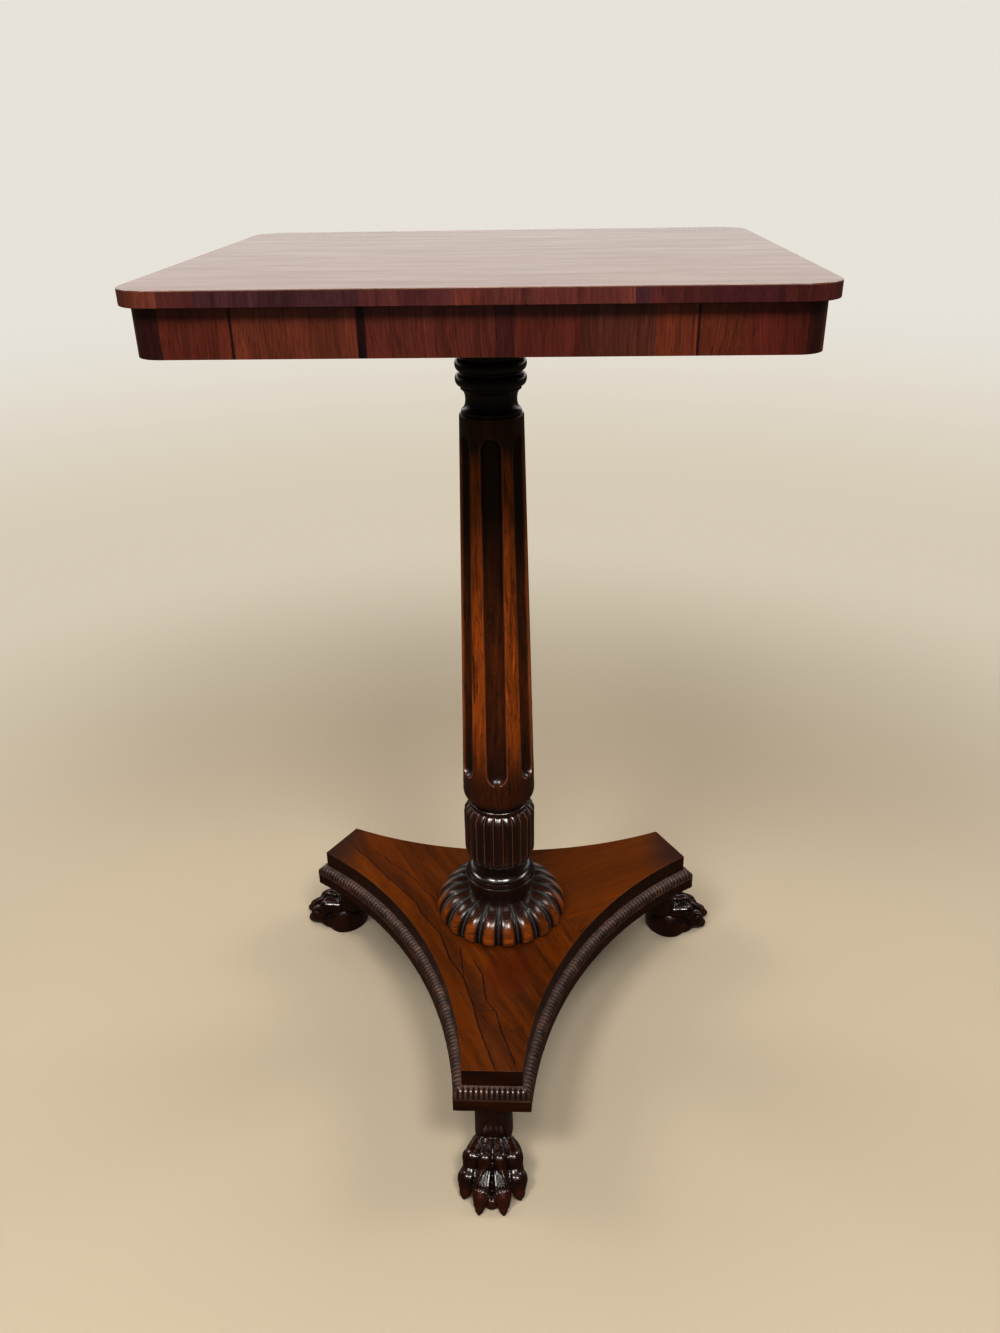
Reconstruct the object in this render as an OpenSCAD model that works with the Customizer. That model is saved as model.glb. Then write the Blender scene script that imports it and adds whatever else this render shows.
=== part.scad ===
// Small pedestal table: rectangular top with a veneered frieze, a fluted pillar with a
// reeded bulb and a gadrooned dome, and a three-armed plinth on carved paw feet.
// Millimetres, +Z up, floor at z = 0, pillar axis on the Z axis, front towards -Y.

/* [Overall] */
// Height of the table top above the floor
table_h = 740; // [680:1:800]

/* [Slab] */
// Width of the slab, left to right
top_w = 441; // [400:1:500]
// Depth of the slab, front to back
top_d = 388; // [350:1:440]
// Thickness of the slab, veneer included
slab_t = 10.3; // [9:0.1:14]
// Radius of the slab's corners in plan
corner_r = 26; // [18:0.5:30]
// Thickness of the saw-cut veneers
veneer_t = 0.9; // [0.6:0.1:1.4]

/* [Frieze] */
// Height of the frieze below the slab
frieze_h = 31.3; // [27:0.1:45]
// How far the slab stands out beyond the frieze
overhang = 7.2; // [4:0.1:12]
// Thickness of the frieze rails
rail_t = 15; // [10:0.5:20]
// Side of the square corner blocks
corner_block_w = 30; // [28:0.5:36]
// Length of a glue block along its rail
glue_block_l = 36; // [20:1:45]
// Leg of a glue block's triangular section
glue_block_w = 12; // [8:0.5:16]

/* [Under the top] */
// Width of the pillar block, left to right
block_w = 120; // [100:1:140]
// Length of the pillar block, front to back
block_l = 150; // [120:1:200]
// Thickness of the pillar block
block_t = 22; // [18:0.5:25]
// Width of a bearer
bearer_w = 28; // [20:1:36]
// Thickness of a bearer
bearer_t = 20; // [14:0.5:24]

/* [Neck] */
// Radius of the two neck beads
neck_bead_r = 28.6; // [27:0.1:31]
// Height of one neck bead
neck_bead_h = 9.8; // [7:0.1:12]
// Radius between and above the beads
neck_waist_r = 25.2; // [23:0.1:26]
// Height of the groove between the beads
neck_waist_h = 1.8; // [1:0.1:4]
// Radius of the hollow at its narrowest
neck_hollow_r = 20.8; // [18:0.1:23]
// Height of the hollow
neck_hollow_h = 16.4; // [12:0.1:22]
// Radius of the fillets above and below the hollow
neck_fillet_r = 24.4; // [23.5:0.1:25]
// Height of one of those fillets
neck_fillet_h = 2.8; // [1.5:0.1:5]
// Height of the plain neck above the upper bead
neck_plain_h = 44; // [30:0.5:60]
// Radius of the tenon that enters the pillar block
neck_tenon_r = 14; // [11:0.5:17]

/* [Shaft] */
// Radius of the shaft at its upper end
shaft_top_r = 26.2; // [25.5:0.1:28]
// Radius of the shaft at its lower end
shaft_foot_r = 34.1; // [32:0.1:37]
// Height of the rounded foot of the shaft
shaft_round_h = 9.5; // [6:0.1:14]
// How far the rounded foot draws in
shaft_round_in = 6.2; // [3:0.1:9]
// Number of flutes
flutes = 6; // [4:1:8]
// Radius of a flute's hollow at its upper end
flute_top_r = 10; // [7:0.1:10.5]
// Radius of a flute's hollow at its lower end
flute_foot_r = 11; // [8:0.1:12]
// Depth of a flute
flute_depth = 7.4; // [4:0.1:8]
// Plain length above the flutes
flute_head = 15.5; // [10:0.5:40]
// Plain length below the flutes
flute_tail = 29; // [20:0.5:60]
// Radius of the upper spigot
spigot_r = 9; // [7:0.5:11]
// Length of the upper spigot
spigot_l = 32; // [20:1:40]
// Radius of the long tenon through the bulb, collar, dome and plinth
tenon_r = 12; // [9:0.5:14]

/* [Reeded bulb] */
// Largest radius of the bulb over its reeds
bulb_r = 34.3; // [32:0.1:38]
// Height of the reeded part
bulb_h = 63; // [50:0.5:80]
// Radius over the reeds at their upper ends
bulb_head_r = 31; // [29.8:0.1:31.5]
// Height of the sloping upper ends of the reeds
bulb_shoulder_h = 9; // [6:0.5:14]
// Radius at the lower rim
bulb_rim_r = 25; // [22:0.1:27]
// Height of the rounded lower ends of the reeds
bulb_under_h = 15.7; // [10:0.1:22]
// Number of reeds
reeds = 22; // [16:1:28]
// Depth of the grooves between the reeds
reed_depth = 1.7; // [0.8:0.1:2.5]
// Radius of the bead above the reeds
bulb_bead_r = 29.5; // [28:0.1:29.7]
// Height of that bead
bulb_bead_h = 5.5; // [3:0.1:8]
// Radius of the groove under the shaft
bulb_groove_r = 27; // [24:0.1:27.8]
// Height of that groove
bulb_groove_h = 4; // [2:0.1:6]

/* [Ring collar] */
// Radius of the plain band
band_r = 34.6; // [34:0.1:37]
// Height of the plain band
band_h = 17.7; // [12:0.1:24]
// Radius of the raised edge on the band
ridge_r = 32.6; // [31:0.1:33.5]
// Height of that raised edge
ridge_h = 4.6; // [2:0.1:7]
// Radius of the hollow at its narrowest
cavetto_r = 23.6; // [20:0.1:24.5]
// Height of the hollow
cavetto_h = 12.4; // [8:0.1:18]
// Height of the fillet on top, under the bulb
collar_rim_h = 1.9; // [1:0.1:4]

/* [Gadrooned dome] */
// Radius of the dome at its foot
dome_r = 65.2; // [58:0.1:72]
// Radius of the dome at its top, under the band
dome_head_r = 37; // [35:0.1:42]
// Height of the dome
dome_h = 28.7; // [20:0.1:40]
// Height of the upright foot of the lobes
dome_foot_h = 4; // [1:0.1:8]
// Number of lobes
lobes = 20; // [14:1:26]
// Depth of the hollows between the lobes
lobe_depth = 4.4; // [2:0.1:6]

/* [Plinth] */
// Distance from the pillar axis to the square end of an arm
arm_reach = 212; // [180:1:240]
// Width of an arm's square end
arm_w = 52.4; // [44:0.5:64]
// Distance from the pillar axis to the middle of a hollow side
waist_r = 91; // [84:1:100]
// Height of the plinth's plain side above the bead
plinth_side_h = 18; // [12:0.5:26]
// Thickness of the base board, which shows as a fillet
base_board_t = 11.7; // [8:0.1:16]

/* [Bead moulding] */
// Height of the bead
bead_h = 10.3; // [7:0.1:14]
// How far the bead and the fillet stand out from the plinth's side
bead_out = 8; // [5:0.1:11]

/* [Paw feet] */
// Height of a foot below the plinth
foot_h = 74; // [64:0.5:90]
// Distance from the end of the arm back to the middle of the ankle
ankle_inset = 10; // [6:0.5:24]
// Radius of the ankle
ankle_r = 16.6; // [14:0.1:19]
// Distance from the middle of the ankle to the claw tips
paw_reach = 64; // [56:0.5:74]
// Width over the outer toes
paw_w = 56.5; // [50:0.5:64]
// Height over the middle knuckles of the inner toes
knuckle_h = 41; // [35:0.5:46]
// Radius of an inner toe at its end knuckle
inner_toe_r = 8; // [7:0.1:9.2]
// Radius of an outer toe at its end knuckle
outer_toe_r = 8.6; // [7.6:0.1:9.6]
// Radius of the heel
heel_r = 21.5; // [18:0.5:24]
// Radius of the spigot that enters the plinth
foot_spigot_r = 9; // [6:0.5:11]
// Length of that spigot
foot_spigot_l = 20; // [12:0.5:24]

/* [Screws and wedges] */
// Radius of a screw's shank
screw_r = 2; // [1.5:0.1:2.6]
// Radius of a screw's head
screw_head_r = 4; // [3.2:0.1:5]
// How far a screw bites into the second piece
screw_bite = 6; // [4:0.1:7]
// Width of a wedge at its thick end
wedge_t = 3; // [2:0.1:4]
// Width of a wedge at its thin end
wedge_thin_t = 0.8; // [0.5:0.1:1.4]
// Depth of the saw cut that a wedge fills
wedge_l = 16; // [10:0.5:20]

/* [Clearances] */
// Glue line between a curved veneer or moulding and its ground
glue_gap = 0.3; // [0.2:0.05:0.5]
// Clearance round a tenon, a spigot or a screw
fit_gap = 0.2; // [0.15:0.05:0.3]

/* [Hidden] */

// Wood colours
veneer_red = [0.42, 0.17, 0.10];
veneer_brown = [0.45, 0.22, 0.08];
dark_rosewood = [0.16, 0.06, 0.04];
near_black = [0.07, 0.05, 0.05];
shaft_brown = [0.36, 0.17, 0.07];
ground_wood = [0.62, 0.43, 0.25];
iron = [0.32, 0.31, 0.30];

// Fineness of round faces
$fn = 96;

// Levels above the floor, from the feet up
base_z = foot_h;
bead_z = base_z + base_board_t;
side_z = bead_z + bead_h;
plinth_z = side_z + plinth_side_h;
dome_z = plinth_z + dome_h;
collar_z = dome_z + band_h + ridge_h + cavetto_h + collar_rim_h;
reed_z = collar_z + bulb_h;
shaft_z = reed_z + bulb_bead_h + bulb_groove_h;

// Levels from the top down
slab_z = table_h - slab_t;
frieze_z = slab_z - frieze_h;
block_z = slab_z - block_t;
neck_h = 2 * neck_fillet_h + neck_hollow_h + 2 * neck_bead_h + neck_waist_h + neck_plain_h;
neck_z = block_z - neck_h;
shaft_h = neck_z - shaft_z;

// Frieze outline and the rails' ground inside its veneer
frieze_w = top_w - 2 * overhang;
frieze_d = top_d - 2 * overhang;
frieze_r = corner_r - overhang;
skin = veneer_t + glue_gap;
ground_w = frieze_w - 2 * skin;
ground_d = frieze_d - 2 * skin;
ground_r = frieze_r - skin;
rail_in_x = ground_w / 2 - rail_t;
rail_in_y = ground_d / 2 - rail_t;
bearer_x = (block_w + bearer_w) / 2;

// Hollow sides of the plinth: arcs through the corners of two arm ends
side_mid = arm_reach * cos(60) + arm_w / 2 * sin(60);
side_half = arm_reach * sin(60) - arm_w / 2 * cos(60);
side_sag = side_mid - waist_r;
hollow_r = (side_half * side_half + side_sag * side_sag) / (2 * side_sag);
hollow_c = waist_r + hollow_r;
front_a = -90; // the way one arm points
right_a = front_a + 120;
left_a = front_a + 240;

// Half the width of an arm end when the outline is moved out by off
function end_half(off) =
    let (ox = arm_reach + off, cx = hollow_c * cos(60), cy = hollow_c * sin(60))
    cy - sqrt(pow(hollow_r - off, 2) - pow(ox - cx, 2));

// Feet, measured along the arm from the pillar axis
ankle_x = arm_reach - ankle_inset;

// Arc of n steps bulging from radius r0 by out between two heights, as [radius, height]
function half_round(r0, out, z0, z1, n = 10) =
    [for (i = [0:n]) let (a = 180 * i / n)
        [r0 + out * sin(a), z0 + (z1 - z0) * (1 - cos(a)) / 2]];

// Rectangle with round corners
module round_rect(w, d, r) {
    square([w - 2 * r, d], center = true);
    square([w, d - 2 * r], center = true);
    for (x = [-1, 1], y = [-1, 1])
        translate([x * (w / 2 - r), y * (d / 2 - r)]) circle(r = r);
}

// Plan of the plinth moved out by off
module plinth_plan(off = 0) {
    reach = arm_reach + off;
    half = end_half(off) + 4;
    difference() {
        polygon([for (a = [front_a, right_a, left_a], s = [-1, 1])
            [reach * cos(a) - s * half * sin(a), reach * sin(a) + s * half * cos(a)]]);
        for (a = [front_a, right_a, left_a])
            rotate(a + 60) translate([hollow_c, 0]) circle(r = hollow_r - off, $fn = 360);
    }
}

// Countersunk wood screw pointing up, its head's face at z = 0
module screw(length) {
    sink = screw_head_r - screw_r;
    rotate_extrude()
        polygon([[0, 0], [screw_head_r, 0], [screw_r, sink], [screw_r, length - 2 * screw_r], [0, length]]);
}

// Hole for that screw, open at the head's side
module screw_hole(length) {
    sink = screw_head_r - screw_r;
    gap = fit_gap;
    rotate_extrude()
        polygon([[0, -1], [screw_head_r + gap, -1], [screw_head_r + gap, gap],
            [screw_r + gap, sink + gap], [screw_r + gap, length + gap], [0, length + gap]]);
}

// Places of the screws, as seen from above
block_screw_at = [for (x = [-1, 1], y = [-1, 1]) [x * block_w * 0.38, y * block_l * 0.4]];
bearer_screw_at = [for (x = [-1, 1], y = [-1, 0, 1]) [x * bearer_x, y * rail_in_y * 0.75]];
base_screw_at = [for (a = [front_a, right_a, left_a], d = [0.38, 0.72])
    [arm_reach * d * cos(a), arm_reach * d * sin(a)]];

module top_board() {
    edge = skin;
    color(ground_wood) difference() {
        translate([0, 0, slab_z]) linear_extrude(slab_t - veneer_t)
            round_rect(top_w - 2 * edge, top_d - 2 * edge, corner_r - edge);
        for (p = block_screw_at)
            translate([p.x, p.y, block_z]) screw_hole(block_t + screw_bite);
        for (p = bearer_screw_at)
            translate([p.x, p.y, slab_z - bearer_t]) screw_hole(bearer_t + screw_bite);
    }
}

module top_veneer() {
    color(veneer_red) translate([0, 0, table_h - veneer_t])
        linear_extrude(veneer_t) round_rect(top_w, top_d, corner_r);
}

module slab_edge_banding() {
    color(veneer_red) translate([0, 0, slab_z]) linear_extrude(slab_t - veneer_t) difference() {
        round_rect(top_w, top_d, corner_r);
        round_rect(top_w - 2 * veneer_t, top_d - 2 * veneer_t, corner_r - veneer_t);
    }
}

// Rail along X on the side s of the Y axis
module long_rail(s) {
    len = ground_w - 2 * corner_block_w;
    color(ground_wood) translate([-len / 2, s > 0 ? rail_in_y : -ground_d / 2, frieze_z])
        cube([len, rail_t, frieze_h]);
}

// Rail along Y on the side s of the X axis
module short_rail(s) {
    len = ground_d - 2 * corner_block_w;
    color(ground_wood) translate([s > 0 ? rail_in_x : -ground_w / 2, -len / 2, frieze_z])
        cube([rail_t, len, frieze_h]);
}

module corner_block(sx, sy) {
    w = corner_block_w;
    color(ground_wood) translate([0, 0, frieze_z]) linear_extrude(frieze_h) intersection() {
        round_rect(ground_w, ground_d, ground_r);
        translate([sx > 0 ? ground_w / 2 - w : -ground_w / 2, sy > 0 ? ground_d / 2 - w : -ground_d / 2])
            square(w);
    }
}

module frieze_veneer() {
    color(veneer_red) translate([0, 0, frieze_z]) linear_extrude(frieze_h) difference() {
        round_rect(frieze_w, frieze_d, frieze_r);
        round_rect(frieze_w - 2 * veneer_t, frieze_d - 2 * veneer_t, frieze_r - veneer_t);
    }
}

// Triangular block in the angle of a rail and the slab, its right angle along Y at x = 0
module glue_block() {
    translate([0, glue_block_l / 2, 0]) rotate([90, 0, 0]) linear_extrude(glue_block_l)
        polygon([[0, 0], [-glue_block_w, 0], [0, -glue_block_w]]);
}

module glue_blocks() {
    along_x = (bearer_x + bearer_w / 2 + ground_w / 2 - corner_block_w) / 2;
    along_y = (ground_d / 2 - corner_block_w) / 2;
    color(ground_wood) translate([0, 0, slab_z]) {
        for (s = [-1, 1], t = [-1, 1]) {
            translate([t * along_x, s * rail_in_y]) rotate(s * 90) glue_block();
            translate([s * rail_in_x, t * along_y]) rotate(s > 0 ? 0 : 180) glue_block();
        }
    }
}

module bearer(s) {
    color(ground_wood) difference() {
        translate([s * bearer_x - bearer_w / 2, -rail_in_y, slab_z - bearer_t])
            cube([bearer_w, 2 * rail_in_y, bearer_t]);
        for (p = bearer_screw_at)
            translate([p.x, p.y, slab_z - bearer_t]) screw_hole(bearer_t + screw_bite);
    }
}

module pillar_block() {
    color(ground_wood) difference() {
        translate([-block_w / 2, -block_l / 2, block_z]) cube([block_w, block_l, block_t]);
        translate([0, 0, block_z - 1]) cylinder(r = neck_tenon_r + fit_gap, h = block_t + 2);
        for (p = block_screw_at)
            translate([p.x, p.y, block_z]) screw_hole(block_t + screw_bite);
    }
}

module block_screws() {
    color(iron) for (p = block_screw_at)
        translate([p.x, p.y, block_z]) screw(block_t + screw_bite);
}

module bearer_screws() {
    color(iron) for (p = bearer_screw_at)
        translate([p.x, p.y, slab_z - bearer_t]) screw(bearer_t + screw_bite);
}

// Outline of the neck from its foot up, as [radius, height above its foot]
function neck_outline() =
    let (z1 = neck_fillet_h, z2 = z1 + neck_hollow_h, z3 = z2 + neck_fillet_h,
        z4 = z3 + neck_bead_h, z5 = z4 + neck_waist_h, z6 = z5 + neck_bead_h,
        out = neck_bead_r - neck_waist_r)
    concat(
        [[neck_fillet_r, 0]],
        half_round(neck_fillet_r, neck_hollow_r - neck_fillet_r, z1, z2, 12),
        [[neck_fillet_r, z3]],
        half_round(neck_waist_r, out, z3, z4),
        half_round(neck_waist_r, out, z5, z6),
        [[neck_waist_r, neck_h]]);

// Wedge with its thick end at z = 0, tapering upwards to an edge line across X
module wedge(width) {
    thin = wedge_thin_t;
    rotate([90, 0, 0]) translate([0, 0, -width / 2]) linear_extrude(width)
        polygon([[-wedge_t / 2, 0], [wedge_t / 2, 0], [thin / 2, wedge_l], [-thin / 2, wedge_l]]);
}

// Saw cut for that wedge
module wedge_cut(width) {
    thin = wedge_thin_t + 2 * fit_gap;
    rotate([90, 0, 0]) translate([0, 0, -width / 2 - 1]) linear_extrude(width + 2)
        polygon([[-wedge_t / 2 - fit_gap, -1], [wedge_t / 2 + fit_gap, -1],
            [thin / 2, wedge_l + fit_gap], [-thin / 2, wedge_l + fit_gap]]);
}

module neck_collar() {
    tenon_top = slab_z - fit_gap;
    color(near_black) difference() {
        union() {
            translate([0, 0, neck_z]) rotate_extrude()
                polygon(concat([[0, 0]], neck_outline(), [[0, neck_h]]));
            translate([0, 0, block_z - 1]) cylinder(r = neck_tenon_r, h = tenon_top - block_z + 1);
        }
        translate([0, 0, neck_z - 1]) cylinder(r = spigot_r + fit_gap, h = spigot_l + 1 + fit_gap);
        translate([0, 0, tenon_top]) mirror([0, 0, 1]) wedge_cut(2 * neck_tenon_r);
    }
}

module tenon_wedge() {
    color(ground_wood) intersection() {
        translate([0, 0, slab_z - fit_gap]) mirror([0, 0, 1]) wedge(2 * neck_tenon_r);
        translate([0, 0, block_z]) cylinder(r = neck_tenon_r, h = block_t);
    }
}

// Capsule along Z from 0 to h with radii r0 and r1, the tool that hollows a flute
module flute_tool(h, r0, r1) {
    steps = 8;
    rotate_extrude($fn = 72) polygon(concat(
        [for (i = [0:steps]) let (a = 90 * i / steps) [r0 * sin(a), -r0 * cos(a)]],
        [for (i = [0:steps]) let (a = 90 * i / steps) [r1 * cos(a), h + r1 * sin(a)]]));
}

module fluted_shaft() {
    rise = shaft_h - shaft_round_h;
    lean = atan((shaft_foot_r + flute_foot_r - shaft_top_r - flute_top_r) / rise);
    run = (shaft_h - flute_head - flute_tail - flute_top_r - flute_foot_r) / cos(lean);
    head_round = 1.6;
    steps = 8;
    foot = [for (i = [0:steps]) let (a = 90 * i / steps)
        [shaft_foot_r - shaft_round_in * (1 - sin(a)), shaft_round_h * (1 - cos(a))]];
    color(shaft_brown) difference() {
        translate([0, 0, shaft_z]) rotate_extrude() polygon(concat(
            [[0, 0]], foot,
            [[shaft_top_r, shaft_h - head_round], [shaft_top_r - head_round * 0.3, shaft_h - head_round * 0.3],
                [shaft_top_r - head_round, shaft_h], [0, shaft_h]]));
        for (i = [0:flutes - 1]) rotate(front_a + i * 360 / flutes)
            translate([shaft_foot_r + flute_foot_r - flute_depth
                - (flute_tail + flute_foot_r - shaft_round_h) * tan(lean), 0, shaft_z + flute_tail + flute_foot_r])
                rotate([0, -lean, 0]) flute_tool(run, flute_foot_r, flute_top_r);
    }
    color(shaft_brown) translate([0, 0, neck_z - 1]) cylinder(r = spigot_r, h = spigot_l + 1);
    color(shaft_brown) difference() {
        translate([0, 0, base_z]) cylinder(r = tenon_r, h = shaft_z - base_z + 1);
        translate([0, 0, base_z]) wedge_cut(2 * tenon_r);
    }
}

module pillar_wedge() {
    color(ground_wood) intersection() {
        translate([0, 0, base_z]) wedge(2 * tenon_r);
        translate([0, 0, base_z]) cylinder(r = tenon_r, h = wedge_l);
    }
}

// Part of a lobe's depth that is lost at position t, from 0 at one hollow to 1 at the next;
// a thin raised fillet stands in each hollow
function lobe_drop(t) = t == 0 ? 0.62 : 1 - sqrt(max(0, 1 - pow(2 * t - 1, 2)));

// Samples across one lobe: the fillet, its two edges and the round of the lobe
lobe_at = [0, 0.07, 0.2, 0.38, 0.62, 0.8, 0.93];

// Solid of revolution with n lobes; each row of outline is [radius, height, lobe depth]
module lobed(outline, n) {
    ring = n * len(lobe_at);
    rows = len(outline);
    points = [for (row = outline, i = [0:n - 1], t = lobe_at)
        let (a = 360 * (i + t - 0.5) / n, r = row[0] - row[2] * lobe_drop(t))
        [r * cos(a), r * sin(a), row[1]]];
    sides = [for (k = [0:rows - 2], i = [0:ring - 1])
        let (j = (i + 1) % ring)
        each [[k * ring + i, (k + 1) * ring + i, (k + 1) * ring + j],
            [k * ring + i, (k + 1) * ring + j, k * ring + j]]];
    polyhedron(points,
        concat([[for (i = [0:ring - 1]) i]], sides,
            [[for (i = [0:ring - 1]) rows * ring - 1 - i]]));
}

module reeded_bulb() {
    low = [for (i = [0:4]) let (a = 90 * i / 4)
        [bulb_rim_r + (bulb_r - bulb_rim_r) * sin(a), bulb_under_h * (1 - cos(a)),
            reed_depth * (0.4 + 0.6 * sin(a))]];
    high = [for (i = [0:3]) let (a = 90 * i / 3)
        [bulb_head_r + (bulb_r - bulb_head_r) * cos(a), bulb_h - bulb_shoulder_h * (1 - sin(a)),
            reed_depth * (0.4 + 0.6 * cos(a))]];
    neck = concat([[0, -2], [bulb_groove_r, -2]],
        half_round(bulb_groove_r, bulb_bead_r - bulb_groove_r, 0, bulb_bead_h),
        [[bulb_groove_r, bulb_bead_h + bulb_groove_h], [0, bulb_bead_h + bulb_groove_h]]);
    color(dark_rosewood) difference() {
        union() {
            translate([0, 0, collar_z]) rotate(front_a) lobed(concat(low, high), reeds);
            translate([0, 0, reed_z]) rotate_extrude() polygon(neck);
        }
        translate([0, 0, collar_z - 1]) cylinder(r = tenon_r + fit_gap, h = shaft_z - collar_z + 2);
    }
}

module ring_collar() {
    steps = 8;
    z1 = band_h + ridge_h;
    z2 = z1 + cavetto_h;
    bore_r = tenon_r + fit_gap;
    hollow = [for (i = [0:steps]) let (a = 90 * i / steps)
        [ridge_r - (ridge_r - cavetto_r) * sin(a), z1 + cavetto_h * (1 - cos(a))]];
    color(dark_rosewood) translate([0, 0, dome_z]) rotate_extrude() polygon(concat(
        [[bore_r, 0], [band_r, 0], [band_r, band_h - 1], [band_r - 1, band_h], [ridge_r - 0.6, band_h],
            [ridge_r, band_h + 0.8]],
        hollow,
        [[bulb_rim_r, z2 + 0.2], [bulb_rim_r, z2 + collar_rim_h], [bore_r, z2 + collar_rim_h]]));
}

module gadrooned_dome() {
    steps = 7;
    rise = dome_h - dome_foot_h;
    curve = [for (i = [0:steps]) let (a = 90 * i / steps)
        [dome_head_r + (dome_r - dome_head_r) * cos(a), dome_foot_h + rise * sin(a),
            lobe_depth * (0.25 + 0.75 * cos(a))]];
    foot = [[dome_r - 2.5, 0, lobe_depth], [dome_r - 0.6, dome_foot_h * 0.4, lobe_depth]];
    color(dark_rosewood) difference() {
        translate([0, 0, plinth_z]) rotate(front_a + 180 / lobes) lobed(concat(foot, curve), lobes);
        translate([0, 0, plinth_z - 1]) cylinder(r = tenon_r + fit_gap, h = dome_h + 2);
    }
}

module tenon_bore() {
    translate([0, 0, base_z - 1]) cylinder(r = tenon_r + fit_gap, h = plinth_z - base_z + 2);
}

module foot_bores() {
    for (a = [front_a, right_a, left_a]) rotate(a) translate([ankle_x, 0, base_z - 1])
        cylinder(r = foot_spigot_r + fit_gap, h = foot_spigot_l + 1 + fit_gap);
}

module base_screw_holes() {
    for (p = base_screw_at)
        translate([p.x, p.y, base_z]) screw_hole(base_board_t + 2 * screw_bite);
}

module plinth_top_veneer() {
    color(veneer_brown) difference() {
        translate([0, 0, plinth_z - veneer_t]) linear_extrude(veneer_t) plinth_plan();
        tenon_bore();
    }
}

module plinth_side_veneer() {
    color(dark_rosewood) translate([0, 0, side_z])
        linear_extrude(plinth_side_h - veneer_t) difference() {
            plinth_plan();
            plinth_plan(-veneer_t);
        }
}

module plinth_core() {
    color(ground_wood) difference() {
        translate([0, 0, bead_z]) linear_extrude(plinth_z - veneer_t - bead_z) plinth_plan(-skin);
        tenon_bore();
        foot_bores();
        base_screw_holes();
    }
}

module plinth_base_board() {
    color(veneer_brown) difference() {
        translate([0, 0, base_z]) linear_extrude(base_board_t) plinth_plan(bead_out);
        tenon_bore();
        foot_bores();
        base_screw_holes();
    }
}

module base_screws() {
    color(iron) for (p = base_screw_at)
        translate([p.x, p.y, base_z]) screw(base_board_t + 2 * screw_bite);
}

// Section of the bead, as [distance out from the plinth's side, height]
function bead_section() =
    let (back = -veneer_t, upright = bead_h * 0.3, steps = 8)
    concat([[back, 0], [bead_out, 0], [bead_out, upright]],
        [for (i = [1:steps]) let (a = 90 * i / steps)
            [bead_out * cos(a) + 0.6 * sin(a), upright + (bead_h - upright) * sin(a)]],
        [[back, bead_h]]);

// Plan of the moulding of a hollow side, which lies along +X, up to its two mitres
module side_mitres() {
    tip = [arm_reach, end_half(0)];
    dir = [bead_out, end_half(bead_out) - end_half(0)];
    near = tip - dir * (2 * skin / bead_out);
    far = tip + dir * 1.5;
    low = [for (p = [near, far]) [p.x * cos(60) + p.y * sin(60), p.y * cos(60) - p.x * sin(60)]];
    polygon([[0, 0], low[0], low[1], [low[1].x, -low[1].y], [low[0].x, -low[0].y]]);
}

module bead_side(a) {
    half_angle = asin(side_half / hollow_r) + 4;
    color(dark_rosewood) translate([0, 0, bead_z]) rotate(a) intersection() {
        translate([hollow_c, 0, 0]) rotate(180 - half_angle)
            rotate_extrude(angle = 2 * half_angle, $fn = 360)
                polygon([for (p = bead_section()) [hollow_r - p.x, p.y]]);
        translate([0, 0, -1]) linear_extrude(bead_h + 2) side_mitres();
    }
}

module bead_end(a) {
    tip = end_half(0);
    far = end_half(bead_out);
    back = veneer_t;
    root = tip - (far - tip) * back / bead_out;
    color(dark_rosewood) translate([0, 0, bead_z]) rotate(a) intersection() {
        translate([arm_reach, far + 1, 0]) rotate([90, 0, 0])
            linear_extrude(2 * far + 2) polygon(bead_section());
        translate([arm_reach, 0, -1]) linear_extrude(bead_h + 2)
            polygon([[-back, -root], [bead_out, -far], [bead_out, far], [-back, root]]);
    }
}

// Chain of hulls through balls given as [x, y, z, radius]
module ball_chain(balls) {
    for (i = [0:len(balls) - 2])
        hull() for (b = [balls[i], balls[i + 1]])
            translate([b[0], b[1], b[2]]) sphere(r = b[3]);
}

// Balls of a toe, as shares: how far forward of paw_reach, how far out of half paw_w,
// how high its top is of knuckle_h, and how thick it is of the toe's own radius.
// Three knuckles with a waist after each, then the root, the middle and the tip of the claw.
inner_toe = [
    [0.06, 0.16, 1.33, 1.07], [0.31, 0.18, 1.32, 1.00], [0.38, 0.21, 1.16, 0.92], [0.47, 0.23, 1.00, 1.05],
    [0.54, 0.25, 0.81, 0.92], [0.61, 0.28, 0.67, 1.00], [0.73, 0.35, 0.45, 1.04], [0.84, 0.37, 0.30, 0.78],
    [0.98, 0.38, 0.07, 0.16]
];
outer_toe = [
    [0.06, 0.39, 1.23, 1.00], [0.37, 0.53, 1.20, 0.95], [0.41, 0.58, 1.02, 0.84], [0.44, 0.63, 0.90, 0.97],
    [0.49, 0.67, 0.72, 0.87], [0.56, 0.69, 0.59, 1.00], [0.60, 0.73, 0.40, 0.91], [0.69, 0.81, 0.23, 0.55],
    [0.74, 0.85, 0.11, 0.22]
];

// Rounded masses behind the toes, as shares: where the middle is, forward of paw_reach and up of
// knuckle_h, and the half sizes, forward of paw_reach, sideways of half paw_w and up of knuckle_h
paw_masses = [
    [[0.22, 0.60], [0.36, 0.70, 0.42]], [[0.38, 0.17], [0.39, 0.95, 0.39]], [[0.67, 0.10], [0.20, 0.36, 0.18]]
];

// A toe on side s, which is 1 or -1
module toe(balls, r, s) {
    ball_chain([for (b = balls)
        [b[0] * paw_reach, s * b[1] * paw_w / 2, b[2] * knuckle_h - b[3] * r, b[3] * r]]);
}

// Ball drawn out to three half sizes
module drawn_ball(at, half) {
    translate(at) scale(half) sphere(r = 1, $fn = 24);
}

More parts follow.
